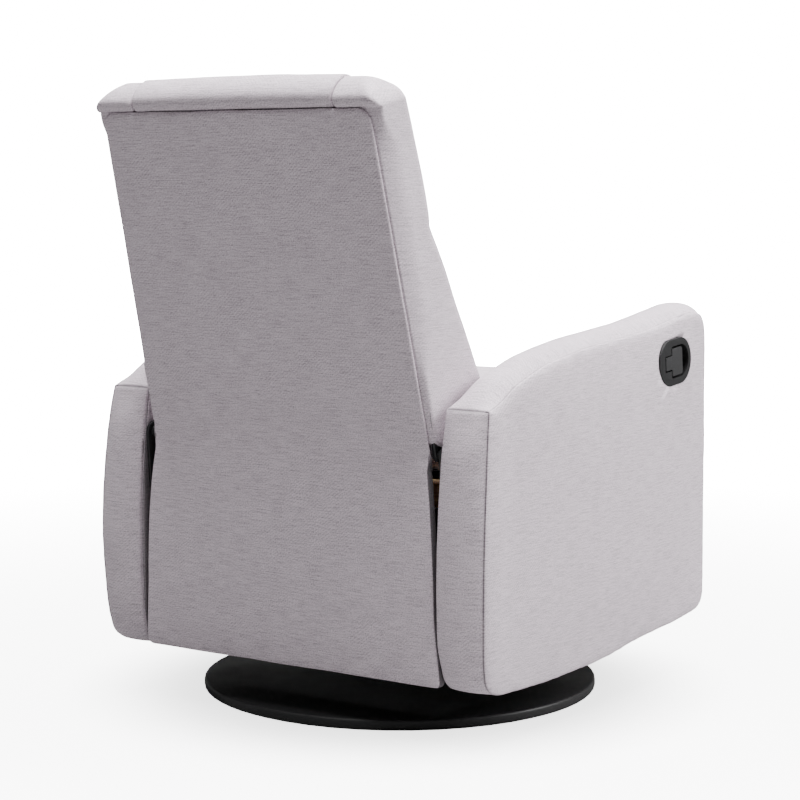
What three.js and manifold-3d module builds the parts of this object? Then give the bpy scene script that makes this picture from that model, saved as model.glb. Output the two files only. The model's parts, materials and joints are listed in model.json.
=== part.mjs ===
// Swivel glider recliner: an upholstered armchair whose back reclines and whose footrest folds out,
// hung on swinging links over a turntable that turns on a round floor disc.
// Millimetres, +Z up. The origin is the centre of the floor disc, on the floor.
// The sitter faces -Y, so the sitter's left hand is on the +X side and the handle is on the -X side.

import * as THREE from 'three';
import { mergeVertices } from 'three/addons/utils/BufferGeometryUtils.js';
import Module from 'manifold-3d';

const wasm = await Module();
wasm.setup();

// Clearances that every piece shares
const seatGap = 0.3;          // between two pieces that rest on each other
const runGap = 0.5;           // between two pieces that turn on each other
const overrun = 5;            // how far a cutting tool passes the face that it cuts
const rad = THREE.MathUtils.degToRad;

// Floor disc and swivel bearing
const disc = { radius: 346, thickness: 17.7, edgeRound: 3 };
const pad = { margin: 10, thickness: 2 };
const spindle = { flangeRadius: 82, flangeThickness: 6, radius: 16, rise: 6 };
const race = { outer: 38, height: 7.7 };
const hub = { outer: 30, rise: 6 };

// Turntable frame and the brackets that the chair hangs from
const crossBar = { fromCentre: 60, width: 30, lift: 5.4, height: 18 };
const spine = { width: 44 };
const hanger = { inner: 150, thickness: 5, footMargin: 11, topMargin: 18, cover: 17, pivotHeight: 235 };

// Swinging glide links
const glide = {
  halfBase: 120, length: 140, width: 28, thickness: 6, pinRadius: 6, headRadius: 10, headThickness: 2.5,
  shoulderRadius: 9, shoulder: 4.5,
};

// Chassis: rails on the links, cross tubes, and a mechanism plate on each side
const rail = { endMargin: 17, belowPivot: 17, abovePivot: 9.7, thickness: 5 };
const tube = { size: 25, wall: 2, fromCentre: 232.5 };
const plate = {
  inner: 225, thickness: 5, below: 7, height: 263.7, rearMargin: 1, frontMargin: 24,
  flangeWidth: 66, flangeThickness: 5, windowRadius: 44, windowRise: 140, windowPitch: 150,
};

// Arms
const arm = {
  inner: 302, width: 78, frontY: -428, rearY: 327, bottom: 79, top: 654, faceCrown: 18,
  topCrown: 16, endCrown: 12, edgeRound: 8, wall: 46, innerWall: 22.5, outerWall: 20,
};
const armBoard = { thickness: 18 };

// Wooden seat box, springs, front apron and cushion
const seatBox = { frontY: -385, rearY: 205, height: 38, sideWidth: 39.7, endWidth: 35 };
const spring = { wire: 4.2, swing: 26, waves: 4, pitch: 120, belowTop: 9, steps: 40, facets: 5 };
const apron = { sideGap: 3, thickness: 12 };
const cushion = {
  sideGap: 1.4, overhang: 75, tuck: 2, thickness: 134, round: 22, crown: 9, drawnShare: 0.55,
};

// Back: its own frame starts at the crease behind the seat, with z up the rear face and y to the rear
const back = {
  creaseY: 331, creaseZ: 470, lean: rad(14.1), length: 546.4, sideGap: 22, taper: 17,
  shell: 10, shellWall: 8, shellStart: 12, cornerRound: 24, boardThickness: 18, seatThickness: 198,
  bulge: 11, roll: 45, topRound: 62, bolsterSeam: 198, pillowGap: 1.2, pillowRound: 13, pillowDrawn: 5,
  crown: 7, pillowBottom: -58, channelShare: 0.62, stripShare: 0.6,
};
const backHinge = { below: 13, inset: 18.4, pinRadius: 6, bossRadius: 9 };
const hingePlate = { thickness: 5, width: 36, drop: 84 };
const backBracket = { thickness: 6, width: 20, rise: 74 };
const boardHole = { radius: 45, fromCentre: 110, heightShares: [0.311, 0.714] };

// Lower back panel, fixed between the arms
const lowerPanel = { thickness: 15, drop: 10, bottom: 94, sideGap: 0.7, round: 26 };

// Footrest: two crossing stages of links on each side, which carry the board
const fold = {
  inset: 82, drop: 26.7, tilt: rad(8), rest: rad(84), open: rad(12), half: 110, width: 16, thickness: 4,
  plateGap: 15, layerGap: 2, rivetRadius: 4, rivetHead: 7, rivetHeadThickness: 2, pinRadius: 8,
  slotPinRadius: 5, openClearance: 1.2,
};
const torqueTube = { radius: 11, bore: 8.5 };
const footBoard = { sideGap: 22, inset: 3, thickness: 15, drop: 9.7, height: 234 };
const footPad = {
  sideLap: 10, topLap: 10, bottomLap: 12, thickness: 44, round: 15, crown: 8, drawnShare: 0.5,
};
const footBracket = { flange: 40, thickness: 4, low: 10, high: 132 };
const pawl = { behindFold: 57, belowFold: 5, width: 16, rimRadius: 21, pinRadius: 4, rimGap: 0.6 };

// Release handle in the outer face of the right arm
const handle = {
  fromFront: 149, fromTop: 81.5, tilt: rad(-5), length: 118, height: 81, inset: 1.5, flange: 10, lip: 10,
  bowlWall: 2.5, bowlDepth: 47, faceWall: 2,
};
const paddle = {
  frontInset: 22, neckInset: 37, rearInset: 14, stemHalf: 12, plateMargin: 6, thickness: 5, gap: 2,
  fingerGap: 4, openingRound: 6, pinRadius: 2, pinInset: 4, pinDepth: 7, knuckle: 4.5,
};
const cable = { radius: 2.6, facets: 6, steps: 40, holeRadius: 4, behindPawl: 6, belowPawl: 18 };

// Finishes
const finish = {
  fabric: [0xb9b3b8, 0.95, 0], blackSteel: [0x17181a, 0.5, 0.6],
  zinc: [0x9a9c9f, 0.38, 0.9], wood: [0xb98f5e, 0.75, 0], plastic: [0x2a2a2c, 0.45, 0],
  rubber: [0x1c1c1c, 0.9, 0], springSteel: [0x3b3d40, 0.4, 0.85],
};

// Places worked out from the sizes above
const discBottom = pad.thickness + seatGap;
const discTop = discBottom + disc.thickness;
const flangeTop = discTop + seatGap + spindle.flangeThickness;
const lowerRaceBottom = flangeTop + seatGap;
const upperRaceBottom = lowerRaceBottom + race.height + seatGap;
const hubBottom = upperRaceBottom + race.height + seatGap;
const barBottom = hubBottom + crossBar.lift;
const barTop = barBottom + crossBar.height;
const hubTop = barTop + hub.rise;
const hangerOuter = hanger.inner + hanger.thickness;
const linkInner = hangerOuter + glide.shoulder + runGap;
const linkOuter = linkInner + glide.thickness;
const railInner = linkOuter + runGap + glide.shoulder;
const lowerPivotHeight = hanger.pivotHeight - glide.length;
const railTop = lowerPivotHeight + rail.abovePivot;
const tubeBottom = railTop + seatGap;
const tubeEnd = tube.fromCentre + tube.size / 2;
const plateBottom = tubeBottom - plate.below;
const plateTop = plateBottom + plate.height;
const plateOuter = plate.inner + plate.thickness;
const armSeam = arm.inner + arm.width;
const cavityInner = arm.inner + arm.innerWall;
const cavityOuter = armSeam - arm.outerWall;
const boardInner = cavityInner + runGap;
const boardOuter = boardInner + armBoard.thickness;
const seatHalf = arm.inner - seatGap;
const seatBoxBottom = plateTop + seatGap;
const seatBoxTop = seatBoxBottom + seatBox.height;
const cushionHalf = arm.inner - cushion.sideGap;
const cushionFront = seatBox.frontY - cushion.overhang;
const cushionBottom = seatBoxTop + seatGap;
const cushionDepth = back.creaseY - back.seatThickness + cushion.tuck - cushionFront;
const foldY = seatBox.frontY + fold.inset;
const foldZ = plateTop - fold.drop;
const foldInner = plate.inner - fold.plateGap - 2 * fold.thickness - fold.layerGap;
const linkBInner = foldInner + fold.thickness + fold.layerGap;
const linkBOuter = linkBInner + fold.thickness;
const boardRear = seatBox.frontY - footBoard.inset;
const boardTop = plateTop - footBoard.drop;
const boardBottom = boardTop - footBoard.height;
const lowerHalf = arm.inner - back.sideGap;
const shellDepth = back.shell + seatGap + back.boardThickness;
const pillowRear = shellDepth + seatGap;
const panelTop = back.creaseZ - lowerPanel.drop;
const hingeLocal = { y: -backHinge.inset, z: -backHinge.below };
const backHingeY = back.creaseY + hingeLocal.y * Math.cos(back.lean) + hingeLocal.z * Math.sin(back.lean);
const backHingeZ = back.creaseZ - hingeLocal.y * Math.sin(back.lean) + hingeLocal.z * Math.cos(back.lean);
const handleY = arm.frontY + handle.fromFront;
const handleZ = arm.top - handle.fromTop;
const handleFace = armSeam + arm.faceCrown - handle.inset;
const bowlFloor = handleFace - handle.bowlDepth;

// Solids and booleans

function toSolid(geometry) {
  const bare = geometry.clone();
  bare.deleteAttribute('normal');
  bare.deleteAttribute('uv');
  const merged = mergeVertices(bare, 1e-4);
  const vertProperties = new Float32Array(merged.attributes.position.array);
  const triVerts = new Uint32Array(merged.index.array);
  return new wasm.Manifold(new wasm.Mesh({ numProp: 3, vertProperties, triVerts }));
}

function toGeometry(solid) {
  const mesh = solid.getMesh();
  const geometry = new THREE.BufferGeometry();
  geometry.setAttribute('position', new THREE.BufferAttribute(new Float32Array(mesh.vertProperties), 3));
  geometry.setIndex(new THREE.BufferAttribute(new Uint32Array(mesh.triVerts), 1));
  geometry.computeVertexNormals();
  return geometry;
}

function join(...parts) {
  return toGeometry(parts.map(toSolid).reduce((whole, part) => whole.add(part)));
}

function cut(base, ...tools) {
  return toGeometry(tools.map(toSolid).reduce((whole, tool) => whole.subtract(tool), toSolid(base)));
}

function shapeOf(points) {
  return new THREE.Shape(points.map(([a, b]) => new THREE.Vector2(a, b)));
}

// A flat outline in (y, z), given a thickness from one x to another
function acrossX(points, xFrom, xTo) {
  const low = Math.min(xFrom, xTo);
  const depth = Math.abs(xTo - xFrom);
  const geometry = new THREE.ExtrudeGeometry(shapeOf(points), { depth, bevelEnabled: false });
  const turn = new THREE.Matrix4().set(0, 0, 1, low, 1, 0, 0, 0, 0, 1, 0, 0, 0, 0, 0, 1);
  return geometry.applyMatrix4(turn);
}

// A flat outline in (x, z), given a thickness from one y to another
function acrossY(points, yFrom, yTo) {
  const low = Math.min(yFrom, yTo);
  const depth = Math.abs(yTo - yFrom);
  const flipped = points.map(([x, z]) => [-x, z]);
  const geometry = new THREE.ExtrudeGeometry(shapeOf(flipped), { depth, bevelEnabled: false });
  const turn = new THREE.Matrix4().set(-1, 0, 0, 0, 0, 0, 1, low, 0, 1, 0, 0, 0, 0, 0, 1);
  return geometry.applyMatrix4(turn);
}

function box(xFrom, xTo, yFrom, yTo, zFrom, zTo) {
  const geometry = new THREE.BoxGeometry(Math.abs(xTo - xFrom), Math.abs(yTo - yFrom), Math.abs(zTo - zFrom));
  return geometry.translate((xFrom + xTo) / 2, (yFrom + yTo) / 2, (zFrom + zTo) / 2);
}

// A round bar along x
function rod(radius, xFrom, xTo, y, z, facets = 16) {
  const geometry = new THREE.CylinderGeometry(radius, radius, Math.abs(xTo - xFrom), facets);
  return geometry.rotateZ(Math.PI / 2).translate((xFrom + xTo) / 2, y, z);
}

// A turned piece about +Z from a profile of [radius, height] points
function turned(profile, facets) {
  const points = profile.map(([r, z]) => new THREE.Vector2(r, z));
  return new THREE.LatheGeometry(points, facets).rotateX(Math.PI / 2);
}

function ring(inner, outer, bottom, top, facets = 32) {
  return turned([[inner, bottom], [outer, bottom], [outer, top], [inner, top], [inner, bottom]], facets);
}

// A straight slot-shaped outline round the line from one point to another
function stadium(a, b, radius, steps = 6) {
  const along = Math.atan2(b[1] - a[1], b[0] - a[0]);
  const points = [];
  for (const [centre, start] of [[b, along - Math.PI / 2], [a, along + Math.PI / 2]]) {
    for (let i = 0; i <= steps; i++) {
      const angle = start + (Math.PI * i) / steps;
      points.push([centre[0] + radius * Math.cos(angle), centre[1] + radius * Math.sin(angle)]);
    }
  }
  return points;
}

// An outline whose corners are replaced by arcs; each corner is [a, b, radius]
function rounded(corners, steps = 4) {
  const points = [];
  corners.forEach(([x, y, radius], i) => {
    const before = corners[(i + corners.length - 1) % corners.length];
    const after = corners[(i + 1) % corners.length];
    const here = new THREE.Vector2(x, y);
    const toBefore = new THREE.Vector2(before[0], before[1]).sub(here);
    const toAfter = new THREE.Vector2(after[0], after[1]).sub(here);
    if (!radius) {
      points.push([x, y]);
      return;
    }
    const half = Math.acos(THREE.MathUtils.clamp(
      toBefore.clone().normalize().dot(toAfter.clone().normalize()), -1, 1)) / 2;
    const trim = Math.min(radius / Math.tan(half), toBefore.length() / 2, toAfter.length() / 2);
    const start = here.clone().addScaledVector(toBefore.normalize(), trim);
    const end = here.clone().addScaledVector(toAfter.normalize(), trim);
    for (let k = 0; k <= steps; k++) {
      const t = k / steps;
      const p = start.clone().multiplyScalar((1 - t) ** 2).addScaledVector(here, 2 * t * (1 - t));
      p.addScaledVector(end, t * t);
      points.push([p.x, p.y]);
    }
  });
  return points;
}

// Soft forms: one closed skin over outlines in (y, z) that stand side by side along x

function counterClockwise(points) {
  const area = THREE.ShapeUtils.area(points.map(([a, b]) => new THREE.Vector2(a, b)));
  return area < 0 ? [...points].reverse() : points;
}

// Moves each point of an outline along its outward normal by what amount(normal, point) says.
// A corner moves by less than its full mitre where it is sharper than the share here.
const sharpestShare = 0.6;
function offsetOutline(points, amount) {
  return points.map((point, i) => {
    const before = points[(i + points.length - 1) % points.length];
    const after = points[(i + 1) % points.length];
    const u = new THREE.Vector2(point[0] - before[0], point[1] - before[1]).normalize();
    const v = new THREE.Vector2(after[0] - point[0], after[1] - point[1]).normalize();
    const normal = new THREE.Vector2(u.y + v.y, -u.x - v.x).normalize();
    const stretch = 1 / Math.max(Math.abs(normal.x * u.y - normal.y * u.x), sharpestShare);
    const distance = amount(normal, point) * stretch;
    return [point[0] + normal.x * distance, point[1] + normal.y * distance];
  });
}

// stations is a list of { outline, x }, where x is a number or a function of the outline's point
function skin(stations) {
  const count = stations[0].outline.length;
  const positions = [];
  for (const { outline, x } of stations) {
    for (const [y, z] of outline) positions.push(typeof x === 'function' ? x(y, z) : x, y, z);
  }
  const index = [];
  for (let s = 0; s + 1 < stations.length; s++) {
    for (let i = 0; i < count; i++) {
      const a = s * count + i;
      const b = s * count + ((i + 1) % count);
      index.push(a, b, b + count, a, b + count, a + count);
    }
  }
  const last = stations.length - 1;
  const caps = [[stations[0], 0, true], [stations[last], last * count, false]];
  for (const [station, offset, reversed] of caps) {
    const flat = station.outline.map(([a, b]) => new THREE.Vector2(a, b));
    for (const [a, b, c] of THREE.ShapeUtils.triangulateShape(flat, [])) {
      if (reversed) index.push(offset + a, offset + c, offset + b);
      else index.push(offset + a, offset + b, offset + c);
    }
  }
  const geometry = new THREE.BufferGeometry();
  geometry.setAttribute('position', new THREE.Float32BufferAttribute(positions, 3));
  geometry.setIndex(index);
  return toGeometry(toSolid(geometry));
}

// A cushion: rounded towards both of its sides and crowned in between.
// sideOf(share, y, z) gives x, for a share of the width from the low side, 0, to the high side, 1.
function pillow({ outline, width, round, drawn, crown, facing, sideOf }) {
  const base = counterClockwise(outline);
  const station = (share, inset, rise) => ({
    outline: offsetOutline(base, (normal) => facing(normal) * rise - inset),
    x: (y, z) => sideOf(share, y, z),
  });
  const stations = [];
  const turns = 3;
  for (let k = 0; k <= turns; k++) {
    const angle = (k / turns) * (Math.PI / 2);
    stations.push(station((round / width) * (1 - Math.cos(angle)), drawn * (1 - Math.sin(angle)), 0));
  }
  const edge = round / width;
  const rows = 4;
  for (let k = 1; k < rows; k++) {
    const share = THREE.MathUtils.lerp(edge, 1 - edge, k / rows);
    stations.push(station(share, 0, crown * (1 - (2 * (k / rows) - 1) ** 2)));
  }
  for (let k = turns; k >= 0; k--) {
    const angle = (k / turns) * (Math.PI / 2);
    stations.push(station(1 - (round / width) * (1 - Math.cos(angle)), drawn * (1 - Math.sin(angle)), 0));
  }
  return skin(stations);
}

const object = new THREE.Group();
object.name = 'swivel_glider_recliner';

function assembly(name, parent = object) {
  const group = new THREE.Group();
  group.name = name;
  parent.add(group);
  return group;
}

function piece(group, name, geometry, [color, roughness, metalness]) {
  const mesh = new THREE.Mesh(geometry, new THREE.MeshStandardMaterial({ color, roughness, metalness }));
  mesh.name = name;
  group.add(mesh);
  return mesh;
}

const sides = [['left', 1], ['right', -1]];

// Floor disc, swivel bearing and spindle

const base = assembly('base');
const padRadius = disc.radius - pad.margin;
piece(base, 'floor_pad', turned([[0, 0], [padRadius, 0], [padRadius, pad.thickness], [0, pad.thickness]], 48),
  finish.rubber);
const discInner = disc.radius - disc.edgeRound;
const discSide = discBottom + disc.edgeRound;
piece(base, 'base_disc', turned([
  [0, discBottom], [discInner, discBottom], [disc.radius, discSide], [disc.radius, discTop - disc.edgeRound],
  [discInner, discTop], [0, discTop],
], 64), finish.blackSteel);
const spindleTop = hubTop + spindle.rise;
piece(base, 'spindle_post', turned([
  [0, discTop + seatGap], [spindle.flangeRadius, discTop + seatGap], [spindle.flangeRadius, flangeTop],
  [spindle.radius, flangeTop], [spindle.radius, spindleTop], [0, spindleTop],
], 32), finish.zinc);
const postBore = spindle.radius + runGap;
piece(base, 'bearing_lower_race', ring(postBore, race.outer, lowerRaceBottom, lowerRaceBottom + race.height),
  finish.zinc);

// Turntable: upper race, H-shaped frame, and a hanger bracket on each side with its pivot pins

const turntable = assembly('turntable');
piece(turntable, 'bearing_upper_race',
  ring(postBore, race.outer, upperRaceBottom, upperRaceBottom + race.height), finish.zinc);
const barReach = hanger.inner - seatGap;
const crossBars = [-1, 1].map((end) => {
  const y = end * crossBar.fromCentre;
  return box(-barReach, barReach, y - crossBar.width / 2, y + crossBar.width / 2, barBottom, barTop);
});
const spineBar = box(-spine.width / 2, spine.width / 2, -crossBar.fromCentre, crossBar.fromCentre,
  barBottom, barTop);
const hubBar = turned([[0, hubBottom], [hub.outer, hubBottom], [hub.outer, hubTop], [0, hubTop]], 32);
piece(turntable, 'turntable_frame', cut(
  join(...crossBars, spineBar, hubBar),
  turned([[0, hubBottom - overrun], [postBore, hubBottom - overrun], [postBore, hubTop + overrun],
    [0, hubTop + overrun]], 32),
), finish.blackSteel);

const hangerFoot = crossBar.fromCentre + crossBar.width / 2 + hanger.footMargin;
const hangerHalf = glide.halfBase + hanger.topMargin;
const hangerTop = hanger.pivotHeight + hanger.cover;
const hangerOutline = rounded([
  [-hangerFoot, barBottom, glide.pinRadius], [hangerFoot, barBottom, glide.pinRadius],
  [hangerHalf, hangerTop, glide.width / 2], [-hangerHalf, hangerTop, glide.width / 2],
]);

// A pivot pin that stands out of a plate: a shoulder, the pin, and a head outside the link
function pivotPin(side, plateFace, linkNear, linkFar, y, z) {
  const outward = Math.sign(linkFar - plateFace);
  const root = plateFace - outward * glide.thickness / 2;
  const headStart = linkFar + outward * runGap;
  return [
    rod(glide.shoulderRadius, side * root, side * (linkNear - outward * runGap), y, z),
    rod(glide.pinRadius, side * root, side * (headStart + outward * glide.headThickness / 2), y, z),
    rod(glide.headRadius, side * headStart, side * (headStart + outward * glide.headThickness), y, z),
  ];
}

for (const [name, side] of sides) {
  const pins = [-1, 1].flatMap((end) => pivotPin(
    side, hangerOuter, linkInner, linkOuter, end * glide.halfBase, hanger.pivotHeight));
  piece(turntable, `glide_bracket_${name}`,
    join(acrossX(hangerOutline, side * hanger.inner, side * hangerOuter), ...pins), finish.blackSteel);
}

// Glide links: they hang from the brackets and carry the chassis rails

const glideLinks = assembly('glide_links');
for (const [place, end] of [['front', -1], ['rear', 1]]) {
  for (const [name, side] of sides) {
    const y = end * glide.halfBase;
    const bar = acrossX(stadium([y, hanger.pivotHeight], [y, lowerPivotHeight], glide.width / 2),
      side * linkInner, side * linkOuter);
    const bores = [hanger.pivotHeight, lowerPivotHeight].map((z) => rod(
      glide.pinRadius + runGap, side * (linkInner - overrun), side * (linkOuter + overrun), y, z));
    piece(glideLinks, `glide_link_${place}_${name}`, cut(bar, ...bores), finish.zinc);
  }
}

// Chassis: rails, cross tubes and mechanism plates

const chassis = assembly('chassis');
const railHalf = tubeEnd + rail.endMargin;
for (const [name, side] of sides) {
  const bar = box(side * railInner, side * (railInner + rail.thickness), -railHalf, railHalf,
    lowerPivotHeight - rail.belowPivot, railTop);
  const pins = [-1, 1].flatMap((end) => pivotPin(
    side, railInner, linkOuter, linkInner, end * glide.halfBase, lowerPivotHeight));
  piece(chassis, `glide_rail_${name}`, join(bar, ...pins), finish.blackSteel);
}

const tubeReach = plate.inner - seatGap;
for (const [place, end] of [['front', -1], ['rear', 1]]) {
  const y = end * tube.fromCentre;
  const half = tube.size / 2;
  const outer = box(-tubeReach, tubeReach, y - half, y + half, tubeBottom, tubeBottom + tube.size);
  const inside = box(-tubeReach - overrun, tubeReach + overrun, y - half + tube.wall, y + half - tube.wall,
    tubeBottom + tube.wall, tubeBottom + tube.size - tube.wall);
  piece(chassis, `cross_tube_${place}`, cut(outer, inside), finish.blackSteel);
}

// Where the fold's points lie, as [forward along the fold's axis, up across it] from its pivot
const linkLength = 2 * fold.half;
const restCos = Math.cos(fold.rest);
const restSin = Math.sin(fold.rest);
const foldPoint = (along, across) => [
  foldY - along * Math.cos(fold.tilt) + across * Math.sin(fold.tilt),
  foldZ + along * Math.sin(fold.tilt) + across * Math.cos(fold.tilt),
];
const slotRest = foldPoint(0, -linkLength * restSin);
const slotOpen = foldPoint(0, -linkLength * Math.sin(fold.open));
const upperJoint = foldPoint(linkLength * restCos, 0);
const secondCross = foldPoint(3 * fold.half * restCos, -fold.half * restSin);
const boardEnd = foldPoint(2 * linkLength * restCos, -linkLength * restSin);

const plateFront = foldY - plate.frontMargin;
const plateRear = tubeEnd + plate.rearMargin;
const plateOutline = rounded([
  [plateFront, plateTop, 0], [slotRest[0] - plate.frontMargin, plateBottom, plate.frontMargin],
  [plateRear, plateBottom, plate.frontMargin], [plateRear, plateTop, 0],
]);
const pawlPivot = [foldY + pawl.behindFold, foldZ - pawl.belowFold];
const cableHole = [pawlPivot[0] + cable.behindPawl, pawlPivot[1] - cable.belowPawl];
for (const [name, side] of sides) {
  const near = side * (plate.inner - overrun);
  const far = side * (plateOuter + overrun);
  const wall = acrossX(plateOutline, side * plate.inner, side * plateOuter);
  const flange = box(side * (plate.inner + plate.thickness / 2), side * (plateOuter + plate.flangeWidth),
    plateFront, seatBox.rearY, plateTop - plate.flangeThickness, plateTop);
  const windows = [-1, 0, 1].map((k) => rod(plate.windowRadius, near, far, k * plate.windowPitch,
    plateBottom + plate.windowRise, 28));
  const openings = [
    rod(fold.pinRadius + runGap, near, far, foldY, foldZ),
    acrossX(stadium(slotOpen, slotRest, fold.slotPinRadius + runGap), near, far),
    ...windows,
  ];
  if (name === 'right') {
    openings.push(rod(pawl.pinRadius + runGap, near, far, ...pawlPivot));
    openings.push(rod(cable.holeRadius, near, far, ...cableHole));
  }
  piece(chassis, `mechanism_plate_${name}`, cut(join(wall, flange), ...openings), finish.blackSteel);
}

// Wooden seat box: four rails

const seatInnerFront = seatBox.frontY + seatBox.endWidth;
const seatInnerRear = seatBox.rearY - seatBox.endWidth;
piece(chassis, 'seat_rail_front',
  box(-seatHalf, seatHalf, seatBox.frontY, seatInnerFront, seatBoxBottom, seatBoxTop), finish.wood);
piece(chassis, 'seat_rail_rear',
  box(-seatHalf, seatHalf, seatInnerRear, seatBox.rearY, seatBoxBottom, seatBoxTop), finish.wood);
for (const [name, side] of sides) {
  piece(chassis, `seat_rail_${name}`, box(side * (seatHalf - seatBox.sideWidth), side * seatHalf,
    seatInnerFront + seatGap, seatInnerRear - seatGap, seatBoxBottom, seatBoxTop), finish.wood);
}

// Upholstered apron over the front rail
const apronHalf = arm.inner - apron.sideGap;
piece(chassis, 'front_apron', box(-apronHalf, apronHalf, seatBox.frontY - seatGap - apron.thickness,
  seatBox.frontY - seatGap, seatBoxBottom, seatBoxTop), finish.fabric);

// Sinuous seat springs: each is one wire that swings from side to side between the end rails

class SpringPath extends THREE.Curve {
  constructor(x) {
    super();
    this.x = x;
  }

  getPoint(t) {
    const settle = Math.min(1, Math.min(t, 1 - t) * 2 * spring.waves);
    const x = this.x + spring.swing * settle * Math.sin(2 * Math.PI * spring.waves * t);
    const y = THREE.MathUtils.lerp(seatInnerFront + seatGap, seatInnerRear - seatGap, t);
    return new THREE.Vector3(x, y, seatBoxTop - spring.belowTop);
  }
}

function circlePoints(radius, count) {
  return Array.from({ length: count }, (_, i) => {
    const angle = (2 * Math.PI * i) / count;
    return [radius * Math.cos(angle), radius * Math.sin(angle)];
  });
}

function wire(path, radius, facets, steps) {
  return new THREE.ExtrudeGeometry(shapeOf(circlePoints(radius, facets)),
    { steps, extrudePath: path, bevelEnabled: false });
}

const springShares = [-1.5, -0.5, 0.5, 1.5];
springShares.forEach((share, i) => {
  const path = new SpringPath(share * spring.pitch);
  piece(chassis, `seat_spring_${i + 1}`, wire(path, spring.wire / 2, spring.facets, spring.steps),
    finish.springSteel);
});

// Seat cushion: outline as shares of its depth from the front and of its thickness from below

const cushionShares = [
  [0.075, 0], [0.035, 0.05], [0.01, 0.17], [0, 0.4], [0.004, 0.66], [0.02, 0.86], [0.055, 0.965], [0.11, 1],
  [0.24, 0.99], [0.43, 0.965], [0.62, 0.95], [0.82, 0.95], [0.93, 0.93], [0.98, 0.84], [1, 0.66], [1, 0.3],
  [0.99, 0.09], [0.96, 0],
];
const cushionOutline = cushionShares.map(([a, b]) => [
  cushionFront + a * cushionDepth, cushionBottom + b * cushion.thickness]);
const upFacing = (normal) => Math.max(normal.y, 0);
piece(chassis, 'seat_cushion', pillow({
  outline: cushionOutline, width: 2 * cushionHalf, round: cushion.round,
  drawn: cushion.round * cushion.drawnShare, crown: cushion.crown, facing: upFacing,
  sideOf: (share) => THREE.MathUtils.lerp(-cushionHalf, cushionHalf, share),
}), finish.fabric);

// Arms: an upholstered shell, open below, over a board. The outline is in shares of its depth, from the
// front, and of its height, from below.

const armShares = [
  [0.987, 0.797], [0.936, 0.821], [0.893, 0.85], [0.836, 0.875], [0.755, 0.903], [0.673, 0.92],
  [0.575, 0.936], [0.446, 0.948], [0.314, 0.963], [0.168, 0.991], [0.11, 1], [0.066, 0.997], [0.042, 0.984],
  [0.029, 0.958], [0.02, 0.927], [0.013, 0.889], [0.009, 0.718], [0.004, 0.525], [0, 0.139], [0.001, 0.103],
  [0.011, 0.073], [0.03, 0.057], [0.064, 0.049], [0.136, 0.04], [0.258, 0.033], [0.376, 0.021],
  [0.433, 0.012], [0.544, 0.003], [0.652, 0.002], [0.705, 0], [0.805, 0.003], [0.905, 0.009], [0.944, 0.014],
  [0.975, 0.026], [0.993, 0.05], [1, 0.097], [1, 0.245], [0.997, 0.437], [0.991, 0.645],
];
const armPoint = (a, b) => [
  THREE.MathUtils.lerp(arm.frontY, arm.rearY, a), THREE.MathUtils.lerp(arm.bottom, arm.top, b)];
const armOutline = counterClockwise(armShares.map(([a, b]) => armPoint(a, b)));
const centreShares = [0.5, 0.47];
const armCentre = armPoint(...centreShares);
const bandShares = [0.2, 0.5, 0.8];
const faceShares = [1, 0.975, 0.92, 0.82, 0.62, 0.32];
const armSwell = (normal) => arm.topCrown * Math.max(normal.y, 0) ** 2 + arm.endCrown * normal.x ** 2;

function armSkin(side) {
  const stations = [
    { outline: offsetOutline(armOutline, () => -arm.edgeRound / 2), x: arm.inner },
    { outline: armOutline, x: arm.inner + arm.edgeRound },
  ];
  for (const share of bandShares) {
    const swell = 1 - (2 * share - 1) ** 2;
    stations.push({
      outline: offsetOutline(armOutline, (normal) => armSwell(normal) * swell),
      x: THREE.MathUtils.lerp(arm.inner + arm.edgeRound, armSeam, share),
    });
  }
  for (const share of faceShares) {
    stations.push({
      outline: armOutline.map(([y, z]) => [
        THREE.MathUtils.lerp(armCentre[0], y, share), THREE.MathUtils.lerp(armCentre[1], z, share)]),
      x: armSeam + arm.faceCrown * (1 - share ** 4),
    });
  }
  if (side > 0) return skin(stations);
  return skin(stations.map(({ outline, x }) => ({ outline, x: -x })).reverse());
}

// The hollow of an arm, or the board in it, drawn in from the arm's outline by a wall
function armCore(wall, foot) {
  const corners = [armShares[0], armShares[6], armShares[10]];
  const [rearTop, middleTop, frontTop] = corners.map(([a, b]) => armPoint(a, b));
  return [
    [arm.frontY + wall, foot], [arm.rearY - wall, foot], [arm.rearY - wall, rearTop[1] - wall],
    [middleTop[0], middleTop[1] - wall], [frontTop[0], frontTop[1] - wall],
    [arm.frontY + wall, frontTop[1] - wall],
  ];
}

// Outlines of the handle's bezel, in its own tilted frame
const handleHalf = (handle.length - handle.height) / 2;
const bowlRadius = handle.height / 2 - handle.lip;
const slotOutline = (radius) => stadium([-handleHalf, 0], [handleHalf, 0], radius, 10);
const inHandleFrame = (geometry) => geometry.rotateX(handle.tilt).translate(0, handleY, handleZ);

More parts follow.
